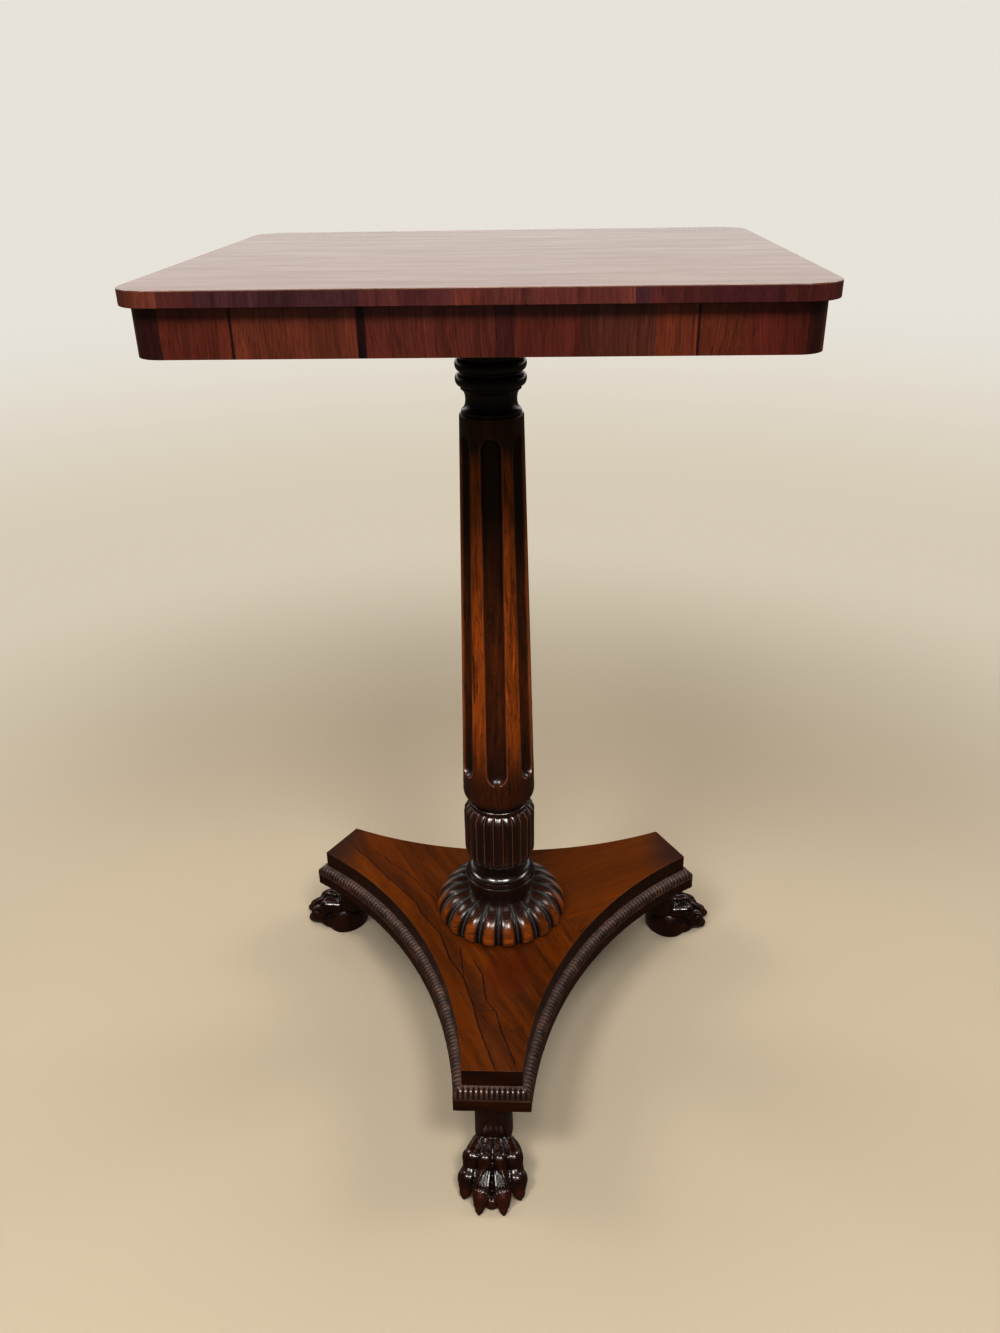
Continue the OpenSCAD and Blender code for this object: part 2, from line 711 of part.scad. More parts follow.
// Paw at the end of the arm that lies along +X
module paw() {
    $fn = 12;
    full_h = base_z + foot_spigot_l;
    ankle_low_r = ankle_r * 1.036;
    heel_half = [heel_r, 0.92 * paw_w / 2, heel_r * 1.16];
    translate([ankle_x, 0, 0]) intersection() {
        union() {
            cylinder(r = foot_spigot_r, h = full_h, $fn = 32);
            hull() {
                translate([0, 0, knuckle_h]) cylinder(r = ankle_low_r, h = 1, $fn = 32);
                translate([0, 0, base_z - 1]) cylinder(r = ankle_r, h = 1, $fn = 32);
            }
            drawn_ball([heel_r / 2, 0, heel_r * 0.28], heel_half);
            for (m = paw_masses)
                drawn_ball([m[0][0] * paw_reach, 0, m[0][1] * knuckle_h],
                           [m[1][0] * paw_reach, m[1][1] * paw_w / 2, m[1][2] * knuckle_h]);
            for (s = [-1, 1]) {
                toe(inner_toe, inner_toe_r, s);
                toe(outer_toe, outer_toe_r, s);
            }
        }
        translate([-2 * heel_r, -paw_w, 0]) cube([paw_reach + 4 * heel_r, 2 * paw_w, full_h]);
    }
}

module front_paw() { color(dark_rosewood) rotate(front_a) paw(); }
module left_paw() { color(dark_rosewood) rotate(left_a) paw(); }
module right_paw() { color(dark_rosewood) rotate(right_a) paw(); }

top_board();
top_veneer();
slab_edge_banding();
long_rail(-1);  // front_rail
long_rail(1);  // back_rail
short_rail(-1);  // left_rail
short_rail(1);  // right_rail
corner_block(-1, -1);  // corner_block_front_left
corner_block(1, -1);  // corner_block_front_right
corner_block(-1, 1);  // corner_block_back_left
corner_block(1, 1);  // corner_block_back_right
frieze_veneer();
glue_blocks();
bearer(-1);  // left_bearer
bearer(1);  // right_bearer
pillar_block();
bearer_screws();
block_screws();
neck_collar();
tenon_wedge();
fluted_shaft();
reeded_bulb();
ring_collar();
gadrooned_dome();
pillar_wedge();
plinth_top_veneer();
plinth_side_veneer();
plinth_core();
plinth_base_board();
bead_side(front_a - 60);  // bead_left_side
bead_side(front_a + 60);  // bead_right_side
bead_side(front_a + 180);  // bead_back_side
bead_end(front_a);  // bead_front_end
bead_end(left_a);  // bead_left_end
bead_end(right_a);  // bead_right_end
base_screws();
front_paw();
left_paw();
right_paw();
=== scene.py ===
import math
from contextlib import contextmanager

import bmesh
import bpy
import numpy as np
from bpy.props import FloatProperty, FloatVectorProperty, IntProperty, PointerProperty
from mathutils import Matrix, Vector


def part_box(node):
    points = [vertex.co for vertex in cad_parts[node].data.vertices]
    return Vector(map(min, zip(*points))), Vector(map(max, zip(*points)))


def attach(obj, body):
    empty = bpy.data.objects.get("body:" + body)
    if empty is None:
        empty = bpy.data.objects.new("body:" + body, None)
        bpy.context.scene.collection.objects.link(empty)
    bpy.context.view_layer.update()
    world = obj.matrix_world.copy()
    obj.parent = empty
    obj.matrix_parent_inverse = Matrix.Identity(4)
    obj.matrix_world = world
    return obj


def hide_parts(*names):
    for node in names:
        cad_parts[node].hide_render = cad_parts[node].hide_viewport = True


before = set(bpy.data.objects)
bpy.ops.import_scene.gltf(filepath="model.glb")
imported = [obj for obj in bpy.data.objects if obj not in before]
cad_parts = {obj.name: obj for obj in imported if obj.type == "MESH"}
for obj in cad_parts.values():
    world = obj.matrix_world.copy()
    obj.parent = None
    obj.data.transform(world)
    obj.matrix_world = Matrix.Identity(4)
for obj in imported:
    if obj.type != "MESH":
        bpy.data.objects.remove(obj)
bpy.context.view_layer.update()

bl_info = {
    "name": "Pedestal table",
    "version": (1, 0, 0),
    "blender": (4, 5, 0),
    "location": "View3D > Sidebar > Pedestal table",
    "description": "Models the visible pieces of a small rosewood pedestal table",
    "category": "Object",
}

FRONT = -math.pi / 2
THIRD = 2 * math.pi / 3
COS_30 = math.sqrt(0.75)
CLEARANCE = 0.0002

SLAB_LOW, SLAB_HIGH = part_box("slab_edge_banding")
SHEET_LOW, SHEET_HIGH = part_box("top_veneer")
FRIEZE_LOW, FRIEZE_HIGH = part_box("frieze_veneer")
NECK_LOW, NECK_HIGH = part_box("neck_collar")
SHAFT_LOW, SHAFT_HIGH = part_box("fluted_shaft")
BULB_LOW, BULB_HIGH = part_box("reeded_bulb")
COLLAR_LOW, COLLAR_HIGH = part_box("ring_collar")
DOME_LOW, DOME_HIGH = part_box("gadrooned_dome")
DECK_LOW, DECK_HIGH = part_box("plinth_top_veneer")
SIDE_LOW, SIDE_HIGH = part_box("plinth_side_veneer")
BASE_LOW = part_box("plinth_base_board")[0]
BEAD_LOW, BEAD_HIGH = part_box("bead_front_end")
PAW_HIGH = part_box("front_paw")[1]
BLOCK_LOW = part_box("pillar_block")[0]


# Sizes and colours that a user would change

def size(name, default, description):
    return FloatProperty(name=name, description=description, default=default, min=0.0, unit="LENGTH")


def count(name, default, description):
    return IntProperty(name=name, description=description, default=default, min=1)


def colour(name, default, description):
    return FloatVectorProperty(name=name, description=description, default=default, size=3,
                               min=0.0, max=1.0, subtype="COLOR")


class TopSizes(bpy.types.PropertyGroup):
    corner: size("Corner radius", 0.026, "Radius of the slab's corners in plan")
    wall: size("Veneer", 0.0009, "Thickness of the veneers")
    arris: size("Arris", 0.0005, "Wear of the slab's edges")


class PillarSizes(bpy.types.PropertyGroup):
    neck_bead: size("Neck bead", 0.0286, "Radius of the neck's two beads")
    neck_waist: size("Neck", 0.0252, "Radius of the plain neck")
    neck_hollow: size("Neck hollow", 0.0208, "Radius of the neck's hollow")
    neck_fillet: size("Neck fillet", 0.0244, "Radius of the fillets at the hollow")
    neck_tenon: size("Neck tenon", 0.014, "Radius of the tenon in the block")
    shaft_top: size("Shaft top", 0.0262, "Radius of the shaft at its upper end")
    shaft_foot: size("Shaft foot", 0.0341, "Radius of the shaft at its lower end")
    flutes: count("Flutes", 6, "Number of flutes round the shaft")
    flute_top: size("Flute top", 0.010, "Radius of a flute's hollow at its upper end")
    flute_foot: size("Flute foot", 0.011, "Radius of a flute's hollow at its lower end")
    flute_depth: size("Flute depth", 0.0074, "Depth of a flute")
    flute_head: size("Flute head", 0.0155, "Plain length above the flutes")
    flute_tail: size("Flute tail", 0.029, "Plain length below the flutes")
    spigot: size("Spigot", 0.009, "Radius of the upper spigot")
    tenon: size("Tenon", 0.012, "Radius of the long lower tenon")
    bulb: size("Bulb", 0.0343, "Largest radius of the bulb")
    bulb_height: size("Bulb height", 0.063, "Height of the reeded part")
    bulb_rim: size("Bulb rim", 0.025, "Radius at the bulb's lower rim")
    reeds: count("Reeds", 22, "Number of reeds")
    reed_depth: size("Reed depth", 0.0017, "Depth of the grooves between the reeds")
    band: size("Band", 0.0346, "Radius of the collar's plain band")
    dome: size("Dome", 0.0652, "Radius of the dome at its foot")
    dome_head: size("Dome head", 0.037, "Radius of the dome at its top")
    lobes: count("Lobes", 20, "Number of lobes")
    lobe_depth: size("Lobe depth", 0.0044, "Depth of the valleys between the lobes")


class PlinthSizes(bpy.types.PropertyGroup):
    reach: size("Arm reach", 0.212, "From the pillar's axis to the end of an arm")
    arm: size("Arm width", 0.0524, "Width of an arm's end")
    waist: size("Waist", 0.091, "From the pillar's axis to the middle of a hollow side")
    bead_out: size("Bead", 0.008, "How far the bead stands out")
    rib: size("Rib pitch", 0.0044, "Distance between the ribs of the bead")
    arris: size("Arris", 0.0006, "Wear of the plinth's edges")


class PawSizes(bpy.types.PropertyGroup):
    inset: size("Ankle inset", 0.010, "From the end of the arm back to the ankle")
    ankle: size("Ankle", 0.0166, "Radius of the ankle")
    grain: size("Voxel", 0.0005, "Fineness of the carving's mesh")


class Finishes(bpy.types.PropertyGroup):
    # The streaks' black-brown is also the tone of the painted shade in hollows, in the flutes, at the
    # shaft's ends and of the deck's painted shadow.
    streak_and_shade: colour("Streak", (0.009, 0.004, 0.004), "Black-brown streaks in the rosewood")
    top: colour("Top", (0.15, 0.066, 0.046), "The top's veneer")
    edge: colour("Edge", (0.118, 0.036, 0.032), "Cross-banded edge of the slab")
    frieze: colour("Frieze", (0.092, 0.0225, 0.0165), "Veneer of the frieze")
    shaft: colour("Shaft", (0.30, 0.070, 0.0085), "Wood of the shaft")
    neck: colour("Neck", (0.006, 0.004, 0.004), "Near-black neck")
    bulb: colour("Bulb", (0.030, 0.010, 0.006), "Bulb and collar")
    fillet: colour("Fillet", (0.24, 0.085, 0.04), "Fine fillets between the reeds")
    dome: colour("Dome", (0.23, 0.058, 0.007), "Crests of the dome's lobes")
    deck: colour("Plinth top", (0.098, 0.0228, 0.0005), "Figured veneer of the plinth's top")
    side: colour("Plinth side", (0.031, 0.0065, 0.001), "Veneer of the plinth's sides")
    bead: colour("Bead", (0.105, 0.05, 0.036), "Ribbed bead")
    paw: colour("Paw", (0.028, 0.0062, 0.0026), "Wood of the paws")
    claw: colour("Claw", (0.048, 0.0115, 0.005), "Worn wood of the claws")
    pine: colour("Pine", (0.42, 0.27, 0.14), "Bare softwood inside")
    mahogany: colour("Mahogany", (0.20, 0.085, 0.042), "Bare hardwood inside")
    oak: colour("Oak", (0.33, 0.21, 0.11), "Wedges")
    iron: colour("Iron", (0.11, 0.10, 0.095), "Screws")
    floor: colour("Floor", (0.45, 0.39, 0.305), "Floor of the studio under the table")
    far_floor: colour("Far floor", (0.735, 0.665, 0.545), "Floor of the studio further off")
    wall: colour("Wall", (0.84, 0.81, 0.75), "Backdrop of the studio")


# Modelling by Blender's own operators

def only(*objects):
    """Selects these objects alone and makes the first the active one."""
    bpy.ops.object.select_all(action="DESELECT")
    for obj in objects:
        obj.select_set(True)
    bpy.context.view_layer.objects.active = objects[0]


@contextmanager
def edit(obj):
    """Edit mode on one object, with all of it selected."""
    only(obj)
    bpy.ops.object.mode_set(mode="EDIT")
    bpy.ops.mesh.select_mode(type="VERT")
    bpy.ops.mesh.select_all(action="SELECT")
    try:
        yield
    finally:
        bpy.ops.object.mode_set(mode="OBJECT")


def pick(obj, kind, test):
    """Selects the edges or faces that pass a test, in edit mode."""
    bpy.ops.mesh.select_all(action="DESELECT")
    bpy.ops.mesh.select_mode(type={"edges": "EDGE", "faces": "FACE"}[kind])
    shape = bmesh.from_edit_mesh(obj.data)
    chosen = [part for part in getattr(shape, kind) if test(part)]
    if not chosen:
        raise RuntimeError(f"{obj.name}: nothing to select")
    for part in chosen:
        part.select_set(True)
    shape.select_flush_mode()
    bmesh.update_edit_mesh(obj.data)


def merge(distance):
    """Merges all points that lie together, in edit mode."""
    bpy.ops.mesh.select_all(action="SELECT")
    bpy.ops.mesh.remove_doubles(threshold=distance)


def point_faces(inside=False):
    """Turns all faces outwards, or inwards, in edit mode."""
    bpy.ops.mesh.select_all(action="SELECT")
    bpy.ops.mesh.normals_make_consistent(inside=inside)


def round_edges(obj, test, width, segments=3):
    """Rounds the edges that pass a test, in edit mode."""
    pick(obj, "edges", test)
    bpy.ops.mesh.bevel(offset=width, segments=segments, affect="EDGES")


def open_through(obj, wall):
    """Opens a block from top to bottom and leaves a wall all round, in edit mode."""
    pick(obj, "faces", lambda face: abs(face.normal.z) > 0.9)
    bpy.ops.mesh.inset(thickness=wall)
    bpy.ops.mesh.bridge_edge_loops()
    point_faces()


def upright(edge):
    return abs(edge.verts[0].co.z - edge.verts[1].co.z) > 1e-4


def level_with(height):
    """A test for edges that lie at a height."""
    return lambda edge: all(abs(vert.co.z - height) < 1e-6 for vert in edge.verts)


def settle(obj, name):
    """Puts the object's place into its mesh and names it."""
    only(obj)
    bpy.ops.object.transform_apply(location=True, rotation=True, scale=True)
    obj.name = name
    obj.data.name = name
    return obj


def modified(obj, kind, **settings):
    """Adds a modifier and applies it."""
    only(obj)
    modifier = obj.modifiers.new(kind.title(), kind)
    for key, value in settings.items():
        setattr(modifier, key, value)
    bpy.ops.object.modifier_apply(modifier=modifier.name)
    return obj


def shaded(obj, angle=50):
    """Smooth shading that keeps flat faces flat."""
    only(obj)
    bpy.ops.object.shade_smooth_by_angle(angle=math.radians(angle))
    return modified(obj, "WEIGHTED_NORMAL", keep_sharp=True, weight=80)


def smooth(obj):
    only(obj)
    bpy.ops.object.shade_smooth()


def finished(obj, material, node):
    """Gives a piece its material and body, and hides its CAD node."""
    obj.data.materials.clear()
    obj.data.materials.append(material)
    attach(obj, "root")
    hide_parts(node)


def on_three_arms(obj, material, nodes, suffix):
    """Finishes the front arm's piece and its copies, each with its own mesh, turned to the other arms."""
    for node, angle in zip(nodes, (0, THIRD, -THIRD)):
        piece = obj
        if angle:
            piece = bpy.data.objects.new(node + suffix, obj.data.copy())
            piece.data.name = node + suffix
            bpy.context.collection.objects.link(piece)
            piece.data.transform(Matrix.Rotation(angle, 4, "Z"))
        finished(piece, material, node)


def drawn(name, points, closed=False):
    """Edges drawn point by point, from one vertex that is extruded along them."""
    bpy.ops.mesh.primitive_plane_add(size=0.001, location=points[0])
    obj = settle(bpy.context.object, name)
    with edit(obj):
        bpy.ops.mesh.merge(type="CENTER")
        for start, end in zip(points, points[1:]):
            step = [b - a for a, b in zip(start, end)]
            bpy.ops.mesh.extrude_region_move(TRANSFORM_OT_translate={"value": step})
        if closed:
            bpy.ops.mesh.select_all(action="SELECT")
            bpy.ops.mesh.edge_face_add()
    return obj


def turned(name, outline, columns):
    """An outline of [radius, height] spun about the pillar's axis."""
    obj = drawn(name, [(r, 0.0, z) for r, z in outline])
    with edit(obj):
        bpy.ops.mesh.spin(steps=columns, angle=2 * math.pi, center=(0, 0, 0), axis=(0, 0, 1))
        merge(2e-6)
        point_faces()
    return obj


def rounded_block(name, low, high, corner):
    """A cube with its four upright edges rounded."""
    bpy.ops.mesh.primitive_cube_add(size=1, location=(low + high) / 2, scale=high - low)
    obj = settle(bpy.context.object, name)
    with edit(obj):
        round_edges(obj, upright, corner, 24)
    return obj


# Mesh data as arrays

def rows(items, key, width, kind=float):
    """One property of a mesh's points or edges, with a row for each."""
    values = np.empty(len(items) * width, dtype=kind)
    items.foreach_get(key, values)
    return values.reshape(-1, width)


def points_of(obj):
    return rows(obj.data.vertices, "co", 3)


def normals_of(obj):
    return rows(obj.data.vertex_normals, "vector", 3)


def move_points(obj, co):
    obj.data.vertices.foreach_set("co", co.ravel())
    obj.data.update()


def columns_of(co, total):
    """The number of each point's column in a turning, counted from the front."""
    return np.rint((np.arctan2(co[:, 1], co[:, 0]) - FRONT) / (2 * math.pi) * total).astype(int)


def move_round(obj, co, moved, radius, angle):
    """Moves some of a turning's points to new radii and angles about the pillar's axis."""
    co[moved, 0] = (radius * np.cos(angle))[moved]
    co[moved, 1] = (radius * np.sin(angle))[moved]
    move_points(obj, co)


def averaged(values, ends, rounds):
    """Each point's value averaged with its neighbours', some rounds over."""
    a, b = ends[:, 0], ends[:, 1]
    width = len(values)
    share = np.bincount(a, minlength=width) + np.bincount(b, minlength=width) + 1.0
    for _ in range(rounds):
        values = (values + np.bincount(a, values[b], width) + np.bincount(b, values[a], width)) / share
    return values


def hollowness(obj, rounds, span):
    """From 0 on crests to 1 in hollows, by how far the neighbours stand above each point's tangent plane."""
    co, ends = points_of(obj), rows(obj.data.edges, "vertices", 2, np.int32)
    flat = np.stack([averaged(co[:, k], ends, rounds) for k in range(3)], axis=1)
    lift = np.einsum("ij,ij->i", flat - co, normals_of(obj))
    return averaged(np.clip(0.5 + lift / span, 0, 1), ends, 2)


def paint(obj, name, values):
    """Stores one number per point for the material to read."""
    layer = obj.data.attributes.get(name) or obj.data.attributes.new(name, "FLOAT", "POINT")
    layer.data.foreach_set("value", np.asarray(values, dtype=np.float32))


def blend_step(low, high, values):
    t = np.clip((values - low) / (high - low), 0, 1)
    return t * t * (3 - 2 * t)


# Materials

class Tree:
    """The nodes of a material or a world, made and joined in short lines."""

    def __init__(self, owner):
        owner.use_nodes = True
        self.owner = owner
        self.nodes = owner.node_tree.nodes
        self.links = owner.node_tree.links
        self.nodes.clear()

    def add(self, kind, inputs=None, **settings):
        node = self.nodes.new(kind)
        for key, value in settings.items():
            setattr(node, key, value)
        for key, value in (inputs or {}).items():
            self.put(node.inputs[key], value)
        return node

    def put(self, socket, value):
        if isinstance(value, bpy.types.NodeSocket):
            self.links.new(value, socket)
        elif hasattr(value, "__len__") and socket.type == "RGBA" and len(value) == 3:
            socket.default_value = (*value, 1)
        else:
            socket.default_value = value

    def place(self):
        return self.add("ShaderNodeTexCoord").outputs["Object"]

    def mapped(self, vector, scale=(1, 1, 1), turn=(0, 0, 0), shift=(0, 0, 0)):
        inputs = {"Vector": vector, "Scale": scale, "Rotation": turn, "Location": shift}
        return self.add("ShaderNodeMapping", inputs).outputs["Vector"]

    def noise(self, vector, scale, detail=3.0, roughness=0.5, output="Fac"):
        inputs = {"Vector": vector, "Scale": scale, "Detail": detail, "Roughness": roughness}
        return self.add("ShaderNodeTexNoise", inputs).outputs[output]

    def math(self, operation, a, b=0.0, c=0.0):
        return self.add("ShaderNodeMath", {0: a, 1: b, 2: c}, operation=operation).outputs["Value"]

    def plus(self, a, b):
        return self.math("ADD", a, b)

    def minus(self, a, b):
        return self.math("SUBTRACT", a, b)

    def times(self, a, b):
        return self.math("MULTIPLY", a, b)

    def most(self, a, b):
        return self.math("MAXIMUM", a, b)

    def add_vectors(self, a, b, share=1.0):
        scaled = self.add("ShaderNodeVectorMath", {0: b, "Scale": share}, operation="SCALE")
        total = self.add("ShaderNodeVectorMath", {0: a, 1: scaled.outputs["Vector"]}, operation="ADD")
        return total.outputs["Vector"]

    def step(self, value, low, high, start=0.0, end=1.0):
        inputs = {"Value": value, "From Min": low, "From Max": high, "To Min": start, "To Max": end}
        return self.add("ShaderNodeMapRange", inputs, interpolation_type="SMOOTHSTEP").outputs["Result"]

    def mix(self, share, a, b, mode="MIX"):
        node = self.add("ShaderNodeMix", data_type="RGBA", blend_type=mode)
        for index, value in ((0, share), (6, a), (7, b)):
            self.put(node.inputs[index], value)
        return node.outputs[2]

    def ramp(self, value, stops, steps=False):
        node = self.add("ShaderNodeValToRGB", {"Fac": value})
        node.color_ramp.interpolation = "CONSTANT" if steps else "LINEAR"
        elements = node.color_ramp.elements
        for index, (position, tone) in enumerate(stops):
            if index > 1:
                elements.new(position)
            elements[index].position = position
            elements[index].color = (*tone, 1)
        return node.outputs["Color"]

    def parts(self, vector):
        return self.add("ShaderNodeSeparateXYZ", {"Vector": vector}).outputs

    def course(self, along, across, points, width):
        """1 on a drawn line and 0 off it, and how far across the line itself lies.

        points are (along, across) in rising order, in metres."""
        low, high, span = points[0][0], points[-1][0], 0.44
        share = self.math("DIVIDE", self.minus(along, low), high - low)
        node = self.add("ShaderNodeFloatCurve", {"Value": share})
        curve = node.mapping.curves[0]
        spots = [((a - low) / (high - low), b / span + 0.5) for a, b in points]
        curve.points[0].location, curve.points[1].location = spots[0], spots[-1]
        for spot in spots[1:-1]:
            curve.points.new(*spot)
        for point in curve.points:
            point.handle_type = "VECTOR"
        node.mapping.update()
        line = self.times(self.minus(node.outputs["Value"], 0.5), span)
        off = self.math("ABSOLUTE", self.minus(across, line))
        ends = self.times(self.math("GREATER_THAN", share, 0.0), self.math("LESS_THAN", share, 1.0))
        return self.times(self.step(off, width, width * 0.3), ends), line

    def spot(self, place, centre, half):
        """1 inside an oval and 0 outside it."""
        squares = [self.math("POWER", self.math("DIVIDE", self.minus(part, middle), reach), 2.0)
                   for part, middle, reach in zip(self.parts(place), centre, half)]
        return self.step(self.plus(*squares), 1.0, 0.4)

    def attribute(self, name):
        return self.add("ShaderNodeAttribute", attribute_name=name).outputs["Fac"]

    def bump(self, height, distance, strength):
        inputs = {"Height": height, "Distance": distance, "Strength": strength}
        return self.add("ShaderNodeBump", inputs).outputs["Normal"]


class Surface(Tree):
    """A material of its own name, with one shader."""

    def __init__(self, name):
        super().__init__(bpy.data.materials.new(name))
        self.shader = self.add("ShaderNodeBsdfPrincipled")
        self.add("ShaderNodeOutputMaterial", {"Surface": self.shader.outputs["BSDF"]})

    def finish(self, tone, roughness, coat=0.0, coat_roughness=0.1, metallic=0.0, gloss=0.5, normal=None):
        values = {"Base Color": tone, "Roughness": roughness, "Specular IOR Level": gloss,
                  "Coat Weight": coat, "Coat Roughness": coat_roughness, "Metallic": metallic}
        if normal is not None:
            values["Normal"] = normal
        for key, value in values.items():
            self.put(self.shader.inputs[key], value)
        return self.owner


def tint(tone, factor):
    return tuple(min(1.0, c * factor) for c in tone)


def warmer(tone, factor):
    """A lighter, more orange shade of a wood's tone."""
    return tuple(min(1.0, c * factor * warmth) for c, warmth in zip(tone, (1.0, 1.12, 0.95)))


# Sizes of a wood's pattern per metre, and how far its layers are drawn out along the grain
STRIPE_FACTOR, FIBRE_SCALE, PORE_SCALE, WEAR_SCALE = 4.5, 900, 1500, 70
FIGURE_STRETCH, STRIPE_STRETCH, FIBRE_STRETCH = 0.16, 0.05, 0.02


def rosewood(finishes, name, tone, along="X", figure=60, stripes=0.5, streaks=0.6, fibre=0.35, pores=0.5,
             roughness=0.3, coat=0.5, coat_roughness=0.12, gloss=0.5, calm=0.0, dull=0.0,
             leaf=None, way=None, extra=None):
    """Polished rosewood: broad figure, stripes along the grain, fine fibre, short pores and polish.

    along is the axis that the grain runs along, and way changes the place that the pattern reads. figure is
    the size of the figure per metre across the grain, and calm evens it out. dull is the roughness added in
    the hollows. leaf gives each leaf its own tone and pattern, and extra changes the colour last."""
    tree = Surface(name)
    axis = "XYZ".index(along)
    broad_scale, stripe_scale, fibre_scale = (tuple(share if k == axis else 1 for k in range(3))
                                              for share in (FIGURE_STRETCH, STRIPE_STRETCH, FIBRE_STRETCH))
    place = tree.place()
    seen = way(tree, place) if way else place
    if leaf:
        leaf_tone, shift = leaf(tree, place)
        seen = tree.add_vectors(seen, shift)
    bent = tree.add_vectors(seen, tree.noise(seen, 12, 2, output="Color"), 0.014)
    broad = tree.noise(tree.mapped(bent, broad_scale), figure, 3, 0.55)
    striped = tree.noise(tree.mapped(bent, stripe_scale), figure * STRIPE_FACTOR, 3, 0.6)
    shade = tree.plus(tree.times(broad, 1 - stripes), tree.times(striped, stripes))
    thread = tree.noise(tree.mapped(bent, fibre_scale), FIBRE_SCALE, 3, 0.6)
    pore = tree.step(tree.noise(tree.mapped(bent, stripe_scale), PORE_SCALE, 1), 0.62, 0.72)
    contour = tree.math("FRACT", tree.times(broad, 9.0))
    line = tree.step(tree.math("ABSOLUTE", tree.minus(contour, 0.5)), 0.09, 0.0)
    base = tree.ramp(shade, [(0.34, warmer(tone, 1.75)), (0.46, tone), (0.56, tint(tone, 0.55)),
                             (0.68, tint(tone, 0.3))])
    base = tree.mix(calm, base, tint(tone, 0.8))
    fibred = tree.mix(fibre, base, tree.ramp(thread, [(0.3, tint(tone, 0.4)), (0.7, warmer(tone, 1.7))]))
    dark = tree.most(tree.step(striped, 0.54, 0.68), tree.times(line, 0.8))
    streaked = tree.mix(tree.times(dark, streaks), fibred, finishes.streak_and_shade)
    shown = tree.mix(tree.times(pore, pores), streaked, tint(finishes.streak_and_shade, 0.8))
    if leaf:
        shown = tree.mix(1.0, shown, leaf_tone, "MULTIPLY")
    if extra:
        shown = extra(tree, shown, place)
    worn = tree.noise(tree.mapped(place, broad_scale), WEAR_SCALE)
    rough = tree.plus(tree.times(worn, 0.16), roughness - 0.08)
    if dull:
        rough = tree.plus(rough, tree.times(tree.attribute("hollow"), dull))
    height = tree.minus(tree.times(thread, 0.35), pore)
    normal = tree.bump(height, 0.00006, 0.6)
    return tree.finish(shown, rough, coat, coat_roughness, gloss=gloss, normal=normal)


def bare_wood(name, tone, along):
    """Unpolished sawn wood with growth lines and age dirt."""
    tree = Surface(name)
    lengths = {"X": (0.06, 1, 1), "Y": (1, 0.06, 1), "Z": (1, 1, 0.06)}[along]
    place = tree.place()
    bent = tree.add_vectors(place, tree.noise(place, 9, 2, output="Color"), 0.02)
    rings = tree.noise(tree.mapped(bent, lengths), 60, 3, 0.6)
    saw = tree.noise(tree.mapped(place, lengths), 420, 2)
    dirt = tree.step(tree.noise(place, 22, 4, 0.6), 0.45, 0.75)
    base = tree.ramp(rings, [(0.3, tint(tone, 0.6)), (0.5, tone), (0.7, tint(tone, 1.25))])
    aged = tree.mix(tree.times(dirt, 0.45), base, tint(tone, 0.38))
    height = tree.plus(tree.times(saw, 0.6), tree.times(rings, 0.4))
    return tree.finish(aged, 0.75, normal=tree.bump(height, 0.0002, 0.5))


def old_iron(name, tone):
    tree = Surface(name)
    rust = tree.step(tree.noise(tree.place(), 260, 4, 0.6), 0.45, 0.62)
    surface = tree.mix(rust, tone, (0.10, 0.045, 0.022))
    roughness = tree.plus(tree.times(rust, 0.35), 0.42)
    return tree.finish(surface, roughness, metallic=0.8, normal=tree.bump(rust, 0.0001, 0.5))


# Outlines

def quarter(steps, first=0):
    """Angles over a quarter turn."""
    return [math.pi / 2 * k / steps for k in range(first, steps + 1)]


def between(low, high, steps):
    """Even steps from low to high, without the two ends."""
    return [low + (high - low) * k / steps for k in range(1, steps)]


def swell(radius, out, low, high, steps=12):
    """Half round from one height to another, standing out of a radius, or in where out is negative."""
    return [(radius + out * math.sin(math.pi * k / steps),
             low + (high - low) * (1 - math.cos(math.pi * k / steps)) / 2) for k in range(steps + 1)]


def rounded(outline, radius, steps=3):
    """The same outline with its sharper corners cut round."""
    done = [outline[0]]
    for before, here, after in zip(outline, outline[1:], outline[2:]):
        a, b = Vector(before) - Vector(here), Vector(after) - Vector(here)
        if min(a.length, b.length) < 1e-7 or a.angle(b) > math.radians(150) or here[0] < 1e-6:
            done.append(here)
            continue
        cut = min(radius, a.length * 0.45, b.length * 0.45)
        start, end = Vector(here) + a.normalized() * cut, Vector(here) + b.normalized() * cut
        for k in range(steps + 1):
            t = k / steps
            done.append(tuple(start * (1 - t) ** 2 + Vector(here) * 2 * t * (1 - t) + end * t ** 2))
    done.append(outline[-1])
    return done


class TableOperator:
    """What all the table's operators share."""
    bl_options = {"REGISTER", "UNDO"}

    def execute(self, context):
        self.make(context.scene)
        return {"FINISHED"}


